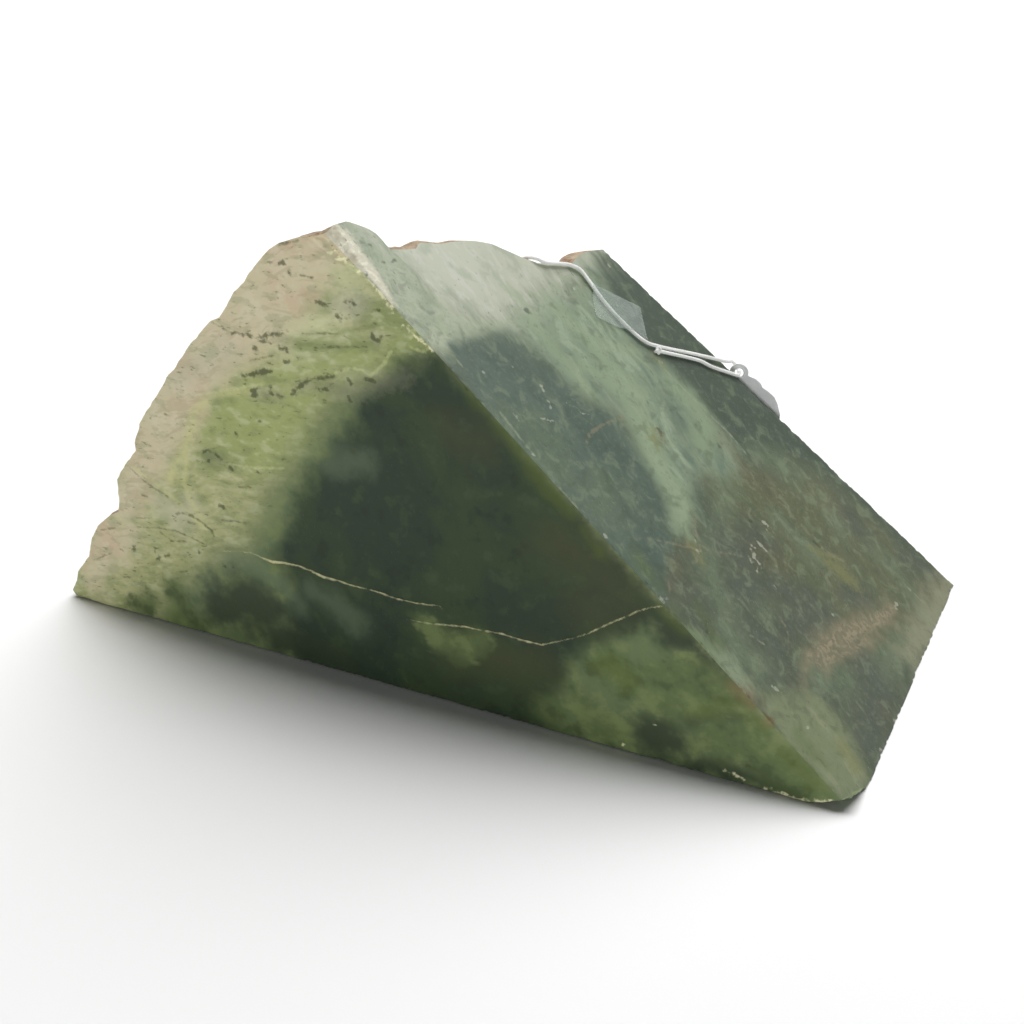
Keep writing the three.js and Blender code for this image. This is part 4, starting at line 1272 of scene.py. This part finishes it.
def cut_rind():
    """The rind's open sheet, trimmed by the four saw cuts: a bmesh of triangles."""
    depths = np.arange(-2 * RIND_STEP, DEPTH - RIND_BACK_MARGIN, RIND_STEP)
    rind = rind_points(spaced(RIND_OUTLINE, RIND_STEP), depths)
    below = rind[:, :1] + 0
    below[:, :, 2] = -OVERSHOOT
    above = rind[:, -1:] + np.array([OVERSHOOT, 0, ROOF_OVERSHOOT])
    share = np.linspace(0, 1, ROOF_ROWS + 1)[1:-1][None, :, None]
    roof = rind[:, -1:] + (above - rind[:, -1:]) * share
    grid = np.concatenate([below, rind, roof, above], axis=1)
    sheet = bmesh.new()
    verts = [sheet.verts.new(point) for point in grid.reshape(-1, 3)]
    for square in grid_faces(*grid.shape[:2]):
        sheet.faces.new([verts[k] for k in square])
    for origin, normal in CUTS.values():
        everything = sheet.verts[:] + sheet.edges[:] + sheet.faces[:]
        bmesh.ops.bisect_plane(
            sheet, geom=everything, dist=CUT_TOUCH, plane_co=origin, plane_no=normal,
            clear_outer=True,
        )
    bmesh.ops.triangulate(sheet, faces=sheet.faces[:])
    keep_largest(sheet)
    return sheet


def keep_largest(sheet):
    """Drops loose edges and every scrap but the largest sheet."""
    left = set(sheet.faces)
    largest = set()
    while left:
        patch = {left.pop()}
        front = list(patch)
        while front:
            face = front.pop()
            near = {f for edge in face.edges for f in edge.link_faces if f in left}
            left -= near
            patch |= near
            front += near
        largest = max(largest, patch, key=len)
    scraps = [face for face in sheet.faces if face not in largest]
    bmesh.ops.delete(sheet, geom=scraps, context="FACES")
    for items, context in ((sheet.edges, "EDGES"), (sheet.verts, "VERTS")):
        loose = [item for item in items if not item.link_faces]
        bmesh.ops.delete(sheet, geom=loose, context=context)


def border_loop(sheet):
    """The sheet's border as vertex numbers in order."""
    following = {}
    for edge in sheet.edges:
        if len(edge.link_faces) == 1:
            for a, b in (edge.verts, reversed(edge.verts)):
                following.setdefault(a.index, []).append(b.index)
    start = min(following)
    loop = [start]
    before, here = None, start
    while True:
        after = next(n for n in following[here] if n != before)
        if after == start:
            return loop
        loop.append(after)
        before, here = here, after


def runs_on_cuts(loop, points):
    """The stretch of the rind's border that lies on each saw cut."""
    runs = {}
    count = len(loop)
    for name, (origin, normal) in CUTS.items():
        on = np.abs((points[loop] - origin) @ normal) < TOUCH
        start = next(i for i in range(count) if on[i] and not on[i - 1])
        length = next(k for k in range(1, count + 1) if not on[(start + k) % count])
        runs[name] = [loop[(start + k) % count] for k in range(length)]
    return runs


# Sawn faces


def drawn_on(drawn, cut):
    """A drawn mark on its face: its points in millimetres, and their half widths or None."""
    numbers = np.array([drawn] if isinstance(drawn, tuple) else drawn, float)
    widths = numbers[:, 2] if numbers.shape[1] == 3 else None
    return seen_on(numbers[:, :2], cut), widths


def fine_zones(cut):
    """Lines of a face that want a finer mesh, each with how far round it."""
    zones = []
    for name in FINE_MARKS.get(cut, ()):
        for drawn in MARKS[cut][name]:
            line, widths = drawn_on(drawn, cut)
            zones.append((line, widths.max() + FINE_MARGIN))
    if cut == "slant":
        zones.append((np.array([on_slant(*spot) for spot in STEP_EDGE]), STEP_EDGE_REACH))
    return zones


def zone_distance(points, zones, origin, axes):
    """Signed distance of points of a face to the nearest zone that wants a finer mesh."""
    best = np.full(len(points), np.inf)
    for line, reach in zones:
        flat = (line - origin) @ axes.T
        close = np.all(points > flat.min(axis=0) - ZONE_MARGIN, axis=1)
        close &= np.all(points < flat.max(axis=0) + ZONE_MARGIN, axis=1)
        best[close] = np.minimum(best[close], distance_to_line(points[close], flat) - reach)
    return best


def dots(border, step):
    """A jittered triangular grid of points inside a border."""
    low, high = border.min(axis=0), border.max(axis=0)
    rows = np.arange(low[1], high[1], step * math.sqrt(3) / 2)
    columns = np.arange(low[0], high[0], step)
    u, v = np.meshgrid(columns, rows)
    u[1::2] += step / 2
    points = np.stack([u.ravel(), v.ravel()], axis=1)
    points = points + RANDOM.uniform(-JITTER, JITTER, points.shape) * step
    return points[inside_loop(points, border)]


def fill_cut(shell, cut, loop):
    """Fills one sawn face with triangles, finer along its edges and its fine marks."""
    origin, normal = CUTS[cut]
    axes = plane_axes(normal)
    border = (shell["points"][loop] - origin) @ axes.T
    zones = fine_zones(cut)
    shown = cut in MARKS
    step = COARSE_STEP if shown else HIDDEN_STEP
    band = FINE_BAND if shown else 0
    grid = dots(border, step)
    off_rim = distance_to_dots(grid, border) > max(band, step / 2)
    inner = [grid[off_rim & (zone_distance(grid, zones, origin, axes) > 0)]]
    if shown:
        grid = dots(border, FINE_STEP)
        rim = distance_to_dots(grid, border)
        wanted = (rim < band) | (zone_distance(grid, zones, origin, axes) < 0)
        inner.append(grid[(rim > FINE_STEP / 2) & wanted])
    flat = np.concatenate([border, *inner])
    edges = [(k, (k + 1) % len(loop)) for k in range(len(loop))]
    found = delaunay_2d_cdt([Vector(p) for p in flat], edges, [], 1, FILL_TOUCH)
    first = len(shell["points"]) - len(loop)
    added = origin + flat[len(loop):] @ axes
    shell["points"] = np.concatenate([shell["points"], added])
    sources = [list(source)[0] for source in found[3]]
    number = [loop[k] if k < len(loop) else first + k for k in sources]
    shell["faces"] += [tuple(number[k] for k in face) for face in found[2]]
    shell["kinds"] += [KINDS.index(cut)] * len(found[2])


def straight(shell, a, b):
    """Vertex numbers of an arris from corner a to corner b, made once and then reused."""
    key = (min(a, b), max(a, b))
    if key not in shell["arrises"]:
        start, end = shell["points"][key[0]], shell["points"][key[1]]
        count = round(np.linalg.norm(end - start) / FINE_STEP)
        shares = np.arange(1, count)[:, None] / count
        first = len(shell["points"])
        shell["points"] = np.concatenate([shell["points"], start + (end - start) * shares])
        shell["arrises"][key] = list(range(first, first + count - 1))
    inner = shell["arrises"][key]
    return [a, *(inner if a == key[0] else inner[::-1])]


def stone_shell():
    """The stone's closed skin, before wear: points, triangles and what each one shows."""
    sheet = cut_rind()
    sheet.verts.index_update()
    rind = np.array([vert.co[:] for vert in sheet.verts])
    faces = [tuple(vert.index for vert in face.verts) for face in sheet.faces]
    runs = runs_on_cuts(border_loop(sheet), rind)
    sheet.free()
    shell = {
        "points": np.concatenate([rind, [TOE_FRONT, TOE_BACK]]),
        "faces": faces,
        "kinds": [KINDS.index("rind")] * len(faces),
        "arrises": {},
    }
    toe_front, toe_back = len(rind), len(rind) + 1
    far_corners = {
        "front": [toe_front], "slant": [toe_front, toe_back], "back": [toe_back],
        "base": [toe_front, toe_back],
    }
    for cut, corners in far_corners.items():
        run = runs[cut]
        if rind[run[-1]][1] > rind[run[0]][1]:
            corners = corners[::-1]
        loop = run[:-1]
        for a, b in zip([run[-1], *corners], [*corners, run[0]]):
            loop += straight(shell, a, b)
        fill_cut(shell, cut, loop)
    used, faces = np.unique(shell["faces"], return_inverse=True)
    return shell["points"][used], faces.reshape(-1, 3), np.array(shell["kinds"])


# Wear


def wear_edges(points):
    """Nicks and rounds the sawn edges, and returns the way into the stone at each point."""
    unworn = points.copy()
    inward = np.zeros_like(points)
    for a, b, one, other, amount in ARRISES:
        way = -unit(CUTS[one][1] + CUTS[other][1])
        away = distance_to_line(points, np.array([a, b]))
        inward[away < EDGE_REACH] = way
        close = away < WEAR_REACH * WEAR_MARGIN
        nick = NICK_MEAN
        for size, swing in zip(WEAR_SIZES, NICK_SWING):
            nick = nick + swing * fractal(unworn[close], size)
        nick = np.clip(nick, *NICK_RANGE)
        fall = 1 - smoothstep(away[close], 0, WEAR_REACH * np.clip(nick, *NICK_REACH_RANGE))
        points[close] += np.outer(WEAR_DEPTH * amount * nick * fall, way)
    return inward


def hollow_depth(points):
    """How deep the floor of the hollow lies under the slanted cut at points in plan."""
    x, y = points[:, 0], points[:, 1]
    (step_y, step_x, _), (end_y, _, _) = HOLLOW_LEFT
    left_x, left_depth = [table_at(HOLLOW_LEFT, y, column) for column in (1, 2)]
    share = np.clip((x - left_x) / (table_at(HOLLOW_RIGHT, y) - left_x), 0, 1)
    wander = STEP_WANDER * fractal(points, STEP_WANDER_SIZE, 2)
    behind_line = y + wander - step_y - STEP_SLOPE * (x - step_x)
    behind_step = smoothstep(behind_line, -STEP_WIDTH, STEP_WIDTH)
    fading = 1 - smoothstep(y, end_y - HOLLOW_FADE, end_y)
    return left_depth * (1 - share) * behind_step * fading


def carve_hollow(points):
    """Takes off what stands over the hollow's floor."""
    over = (points - TOE_FRONT) @ SLANT_NORMAL
    near = over > -HOLLOW_SKIN
    depth = hollow_depth(points[near])
    excess = np.where(depth > 0, np.maximum(over[near] + depth, 0), 0)
    points[near] -= np.outer(excess, SLANT_NORMAL)


def bite_chips(points, inward):
    """Pushes what lies inside a chip through to the chip's far wall."""
    for number, (x, y, z, length, width, height, turn) in enumerate(CHIPS):
        axes = np.array([
            [math.cos(turn), 0, -math.sin(turn)], [0, 1, 0], [math.sin(turn), 0, math.cos(turn)],
        ])
        size = np.array([length, width, height]) / 2
        local = (points - (x, y, z)) @ axes.T / size
        inside = np.einsum("ij,ij->i", local, local) < 1
        if not inside.any():
            continue
        start = local[inside]
        way = inward[inside] @ axes.T / size
        a = np.einsum("ij,ij->i", way, way)
        b = 2 * np.einsum("ij,ij->i", way, start)
        c = np.einsum("ij,ij->i", start, start) - 1
        reach = (-b + np.sqrt(b * b - 4 * a * c)) / (2 * a)
        rough = fractal(points[inside] + CHIP_SHIFT * number, CHIP_GRAIN)
        reach *= CHIP_LEAST + CHIP_SPREAD * rough
        points[inside] += inward[inside] * reach[:, None]


def break_corners(points):
    """Knocks the corners off flat, with a slightly rough break."""
    for corners in BREAKS:
        a, b, c = np.array(corners, float)
        normal = unit(np.cross(b - a, c - a))
        if normal @ (MIDST - a) > 0:
            normal = -normal
        near = np.linalg.norm(points - (a + b + c) / 3, axis=1) < BREAK_REACH
        over = (points[near] - a) @ normal
        rough = BREAK_ROUGHNESS * (fractal(points[near], BREAK_GRAIN) - BREAK_BIAS)
        points[near] -= np.outer(np.maximum(over - np.minimum(rough, 0), 0), normal)


def sink_cracks(points, on_front):
    """Opens the cracks of the front face into shallow grooves."""
    for drawn in FRONT_MARKS["crack"]:
        away = distance_to_line(points, drawn_on(drawn, "front")[0])
        near = (away < CRACK_WIDTH) & on_front
        points[near, 1] += CRACK_DEPTH * (1 - smoothstep(away[near], 0, CRACK_WIDTH))


def mark_field(points, name, cut):
    """Signed distance in millimetres to the nearest edge of a mark, below zero inside it."""
    axes = plane_axes(CUTS[cut][1])
    flat = points @ axes.T
    best = np.full(len(points), FIELD_REACH)
    for drawn in MARKS[cut][name]:
        line, widths = drawn_on(drawn, cut)
        if widths is None:
            corners = line @ axes.T
            away = distance_to_line(flat, np.concatenate([corners, corners[:1]]))
            away[inside_loop(flat, corners)] *= -1
        else:
            away = distance_to_line(points, line, widths)
        best = np.minimum(best, away)
    return best


# Looks


def linear(code):
    """A colour written as #rrggbb as it would be seen, turned into linear red, green and blue."""
    seen = np.array([int(code[k:k + 2], 16) / 255 for k in (1, 3, 5)])
    return np.where(seen <= 0.04045, seen / 12.92, ((seen + 0.055) / 1.055) ** 2.4)


class Look:
    """One procedural material, painted layer over layer."""

    def __init__(self, name, roughness, specular=0.5, light=1, haze=0, normal=None):
        self.material = bpy.data.materials.new(name)
        self.material.use_nodes = True
        self.tree = self.material.node_tree
        self.shader = self.tree.nodes["Principled BSDF"]
        self.shader.inputs["Specular IOR Level"].default_value = specular
        self.shader.inputs["Roughness"].default_value = roughness
        self.place = self.add("ShaderNodeTexCoord").outputs["Object"]
        self.light, self.haze, self.normal = light, haze, normal
        self.noises = {}
        self.paint_so_far = None

    def add(self, kind, **settings):
        node = self.tree.nodes.new(kind)
        for key, value in settings.items():
            setattr(node, key, value)
        return node

    def feed(self, socket, value):
        if isinstance(value, bpy.types.NodeSocket):
            self.tree.links.new(value, socket)
        else:
            socket.default_value = value

    def math(self, operation, a, b=0.0, c=0.0):
        node = self.add("ShaderNodeMath", operation=operation)
        for socket, value in zip(node.inputs, (a, b, c)):
            self.feed(socket, value)
        return node.outputs[0]

    def times(self, a, b):
        return self.math("MULTIPLY", a, b)

    def vector(self, operation, a, b):
        node = self.add("ShaderNodeVectorMath", operation=operation)
        self.feed(node.inputs[0], a)
        self.feed(node.inputs[1], b)
        return node.outputs[0]

    def rise(self, value, low, high, top=1.0):
        """0 up to low and top from high on, with a smooth rise between; low may be above high."""
        node = self.add("ShaderNodeMapRange", interpolation_type="SMOOTHSTEP")
        self.feed(node.inputs["Value"], value)
        node.inputs["From Min"].default_value = low
        node.inputs["From Max"].default_value = high
        node.inputs["To Max"].default_value = top
        return node.outputs[0]

    def noise_node(self, place, size, detail):
        node = self.add("ShaderNodeTexNoise")
        self.feed(node.inputs["Vector"], place)
        node.inputs["Scale"].default_value = 1 / (size * MM)
        node.inputs["Detail"].default_value = detail
        return node

    def warp(self, size, reach):
        """The place, moved by up to a reach in millimetres, for bending what is drawn."""
        node = self.noise_node(self.place, size, 2)
        centred = self.vector("SUBTRACT", node.outputs["Color"], (0.5, 0.5, 0.5))
        offset = self.vector("MULTIPLY", centred, (reach * MM * NOISE_GAIN,) * 3)
        return self.vector("ADD", self.place, offset)

    def squeeze(self, place, direction, normal, ratio, shift):
        """A place squeezed along a direction, so that noise read there makes streaks."""
        direction, normal = unit(direction), unit(normal)
        turn = Matrix((direction, np.cross(normal, direction), normal)).transposed()
        node = self.add("ShaderNodeMapping", vector_type="TEXTURE")
        self.feed(node.inputs["Vector"], place)
        node.inputs["Location"].default_value = (shift, shift, shift)
        node.inputs["Rotation"].default_value = turn.to_euler()
        node.inputs["Scale"].default_value = (ratio, 1, 1)
        return node.outputs[0]

    def noise(self, size, detail=3, distortion=0, along=None, normal=None, stretch=1, shift=0,
              warp=None):
        """Noise with lumps of a size in millimetres, about from 0.3 to 0.7."""
        place = self.warp(*warp) if warp else self.place
        if along:
            normal = self.normal if normal is None else normal
            place = self.squeeze(place, along, normal, stretch, shift)
        node = self.noise_node(place, size, detail)
        node.inputs["Roughness"].default_value = NOISE_ROUGHNESS
        node.inputs["Distortion"].default_value = distortion
        return node.outputs["Fac"]

    def mark(self, name, soft, wander, by):
        """1 inside a mark and 0 outside; its edge is soft, and wanders by a noise."""
        field = self.add("ShaderNodeAttribute", attribute_name=name).outputs["Fac"]
        centred = self.math("SUBTRACT", self.noises[by], 0.5)
        field = self.math("MULTIPLY_ADD", centred, NOISE_GAIN * wander, field)
        return self.rise(field, soft, -soft)

    def colour(self, code):
        """Colour behind one seen in this face's light; sheen past the given haze stays as painted sheen."""
        own = (linear(code) - self.haze) / self.light
        return (*np.clip(own, *OWN_COLOUR_RANGE), 1)

    def paint(self, code, masks, strength):
        """Lays a colour over what is painted so far, where all the masks say."""
        over = self.colour(code)
        if self.paint_so_far is None:
            node = self.add("ShaderNodeRGB")
            node.outputs[0].default_value = over
            self.paint_so_far = node.outputs[0]
            return
        mask = masks[0]
        for factor in (*masks[1:], strength):
            mask = self.times(mask, factor)
        node = self.add("ShaderNodeMix", data_type="RGBA")
        self.feed(node.inputs["Factor"], mask)
        self.feed(node.inputs[MIX_UNDER], self.paint_so_far)
        node.inputs[MIX_OVER].default_value = over
        self.paint_so_far = node.outputs[MIX_RESULT]

    def paint_layers(self, noises, layers, prefix=""):
        """Makes the named noises and lays the layers one over the other."""
        self.noises = {name: self.noise(**recipe) for name, recipe in noises.items()}
        drawn = {}
        for code, strength, mark, *spreads in layers:
            if mark is not None and mark not in drawn:
                drawn[mark] = self.mark(prefix + mark[0], *mark[1:])
            masks = [drawn[mark]] if mark is not None else []
            masks += [self.rise(self.noises[by], low, high) for by, low, high in spreads]
            self.paint(code, masks, strength)

    def finish(self, bumps=(), roughness=None):
        """Joins the paint, the bumps as (height, millimetres) and the roughness to the shader."""
        self.feed(self.shader.inputs["Base Color"], self.paint_so_far)
        if roughness is not None:
            self.feed(self.shader.inputs["Roughness"], roughness)
        normal = None
        for height, depth in bumps:
            bump = self.add("ShaderNodeBump")
            bump.inputs["Distance"].default_value = depth * MM
            self.feed(bump.inputs["Height"], height)
            if normal is not None:
                self.feed(bump.inputs["Normal"], normal)
            normal = bump.outputs[0]
        if normal is not None:
            self.feed(self.shader.inputs["Normal"], normal)
        return self.material


def sawn_look(cut, noises, layers):
    """A sawn and rubbed face: its paint, over a fine bump of saw lines, pits and grain."""
    light, haze, specular, roughness, bump, least_rough = SAWN_FINISH[cut]
    look = Look("sawn_" + cut, roughness, specular, light, haze, CUTS[cut][1])
    look.paint_layers(noises, layers, cut + "_")
    saw = look.times(look.noise(**SAW_LINES), SAW_SHARE)
    pits = look.rise(look.noise(**SAWN_PITS), *PIT_RANGE)
    height = look.math("MULTIPLY_ADD", look.noise(**SAWN_GRAIN), GRAIN_SHARE, saw)
    height = look.math("SUBTRACT", height, pits)
    rough = look.math("MULTIPLY_ADD", look.noises["mottle"], MOTTLE_ROUGH, least_rough)
    rough = look.math("MULTIPLY_ADD", look.noises["cloud"], CLOUD_ROUGH, rough)
    return look.finish([(height, bump)], rough)


def rind_look():
    """The waterworn rind: tan and rusty, with darker and paler patches laid out by noise."""
    look = Look("rind", RIND_ROUGHNESS, RIND_SPECULAR, RIND_LIGHT, RIND_HAZE)
    look.paint_layers(RIND_NOISES, RIND_LAYERS)
    mottle, grain = look.noises["mottle"], look.noises["grain"]
    height = look.math("MULTIPLY_ADD", grain, RIND_GRAIN_SHARE, mottle)
    rough = look.math("MULTIPLY_ADD", grain, RIND_GRAIN_ROUGH, RIND_LEAST_ROUGH)
    return look.finish([(height, RIND_BUMP)], rough)


def string_look():
    look = Look("cotton_string", STRING_ROUGHNESS, STRING_SPECULAR)
    look.paint_layers(STRING_NOISES, STRING_LAYERS)
    look.shader.inputs["Sheen Weight"].default_value = STRING_SHEEN
    return look.finish([(look.noises["fibre"], STRING_BUMP)])


def tape_look():
    look = Look("frosted_film", TAPE_ROUGHNESS)
    look.paint_layers(TAPE_NOISES, TAPE_LAYERS)
    look.shader.inputs["Alpha"].default_value = TAPE_ALPHA
    haze = look.noises["haze"]
    bumps = [(look.noises["ripple"], TAPE_RIPPLE_BUMP), (haze, TAPE_HAZE_BUMP)]
    return look.finish(bumps, look.rise(haze, *TAPE_ROUGH_RANGE))


def card_look(name, code, shade):
    look = Look(name, CARD_ROUGHNESS, CARD_SPECULAR)
    layers = [(shade, strength, None, spread) for strength, spread in CARD_SHADES]
    look.paint_layers(CARD_NOISES, [(code, 1, None), *layers])
    return look.finish([(look.noises["fibre"], CARD_BUMP)])


# Stone


def store(mesh, name, values):
    field = mesh.attributes.new(name, "FLOAT", "POINT")
    field.data.foreach_set("value", values.astype(np.float32))


def add_stone():
    """The stone in place of its plain solid, with its saw cuts, rind, wear and marks."""
    points, faces, kinds = stone_shell()
    at = {kind: np.zeros(len(points), bool) for kind in KINDS}
    for number, kind in enumerate(KINDS):
        at[kind][faces[kinds == number]] = True
    inward = wear_edges(points)
    carve_hollow(points)
    bite_chips(points, inward)
    break_corners(points)
    sink_cracks(points, at["front"])
    points[:, 2] = np.maximum(points[:, 2], 0)

    stone = add_piece("stone", points, faces, sawn_look("front", FRONT_NOISES, FRONT_LAYERS))
    mesh = stone.data
    mesh.materials.append(sawn_look("slant", SLANT_NOISES, SLANT_LAYERS_WITH_SHEEN))
    mesh.materials.append(rind_look())
    mesh.materials.append(sawn_look("back", BACK_NOISES, BACK_LAYERS))
    slots = np.minimum(kinds, KINDS.index("back"))
    mesh.polygons.foreach_set("material_index", slots.astype(np.int32))
    clean = bmesh.new()
    clean.from_mesh(mesh)
    bmesh.ops.recalc_face_normals(clean, faces=clean.faces)
    clean.to_mesh(mesh)
    clean.free()
    mesh.set_sharp_from_angle(angle=math.radians(SHARP_ANGLE))

    for cut, marks in MARKS.items():
        for name in marks:
            field = np.full(len(points), FIELD_REACH)
            field[at[cut]] = mark_field(points[at[cut]], name, cut)
            store(mesh, cut + "_" + name, field)
    hidden = at["back"] | at["base"]
    stain = np.full(len(points), FIELD_REACH)
    stain[hidden] = distance_to_dots(points[hidden], points[at["rind"]][::STAIN_SAMPLING])
    store(mesh, "back_rind_near", stain - STAIN_REACH)
    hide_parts("nephrite_block")
    return stone


# Studio


def add_floor():
    mesh = bpy.data.meshes.new("floor")
    half = FLOOR_HALF
    corners = [(-half, -half, 0), (half, -half, 0), (half, half, 0), (-half, half, 0)]
    mesh.from_pydata(corners, [], [(0, 1, 2, 3)])
    floor = bpy.data.objects.new("floor", mesh)
    floor.location.z = -FLOOR_DROP
    look = Look("floor_paper", FLOOR_ROUGHNESS, specular=0)
    look.shader.inputs["Base Color"].default_value = (FLOOR_SHADE,) * 3 + (1,)
    look.shader.inputs["Emission Color"].default_value = (1, 1, 1, 1)
    away = look.add("ShaderNodeVectorMath", operation="LENGTH")
    look.feed(away.inputs[0], look.place)
    glow = look.rise(away.outputs["Value"], *FLOOR_GLOW)
    look.feed(look.shader.inputs["Emission Strength"], glow)
    mesh.materials.append(look.material)
    bpy.context.scene.collection.objects.link(floor)


def add_light(name, place, aim, size, power):
    data = bpy.data.lights.new(name, "AREA")
    data.shape = "RECTANGLE"
    data.size, data.size_y = size
    data.energy = power
    lamp = bpy.data.objects.new(name, data)
    lamp.location = place
    lamp.rotation_euler = (Vector(place) - Vector(aim)).to_track_quat("Z", "Y").to_euler()
    bpy.context.scene.collection.objects.link(lamp)


def add_studio():
    """A pale floor, a panel overhead, a wide one behind, a low one in front, and a white room."""
    add_floor()
    for panel in LIGHTS:
        add_light(*panel)
    world = bpy.data.worlds.new("white_room")
    world.use_nodes = True
    tree = world.node_tree
    background = tree.nodes["Background"]
    background.inputs["Color"].default_value = (1, 1, 1, 1)
    rays = tree.nodes.new("ShaderNodeLightPath")
    strength = tree.nodes.new("ShaderNodeMapRange")
    strength.inputs["To Min"].default_value = ROOM_LIGHT
    strength.inputs["To Max"].default_value = ROOM_SEEN
    tree.links.new(rays.outputs["Is Camera Ray"], strength.inputs["Value"])
    tree.links.new(strength.outputs[0], background.inputs["Strength"])
    bpy.context.scene.world = world
    bpy.context.scene.view_settings.view_transform = "Standard"


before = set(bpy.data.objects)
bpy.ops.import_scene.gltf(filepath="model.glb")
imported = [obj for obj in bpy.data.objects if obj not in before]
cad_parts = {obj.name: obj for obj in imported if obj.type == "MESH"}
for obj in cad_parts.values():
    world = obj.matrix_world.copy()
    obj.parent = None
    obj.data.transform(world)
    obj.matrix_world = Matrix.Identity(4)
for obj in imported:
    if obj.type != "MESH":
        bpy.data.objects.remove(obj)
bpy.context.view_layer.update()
CORNER = np.array(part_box("nephrite_block")[0])
RANDOM = np.random.default_rng(SEED)
MARKS = {"front": FRONT_MARKS, "slant": SLANT_MARKS}

add_camera()
cotton = string_look()
string, string_line = add_string(cotton)
rind_knot = add_knot("string_knot_rind", STRING_ROUTE[0], RIND_KNOT_PULL, cotton)
loop_knot = add_knot("string_knot_loop", STRING_ROUTE[-1], LOOP_KNOT_PULL, cotton)
tag, washer = add_tag(
    card_look("tag_card", *CARD_COLOURS), card_look("washer_card", *WASHER_COLOURS)
)
tape = add_tape(string_line, tape_look())
to_frame([STRING_ROUTE[0]])[0]
to_frame(string_line)
add_stone()
add_studio()
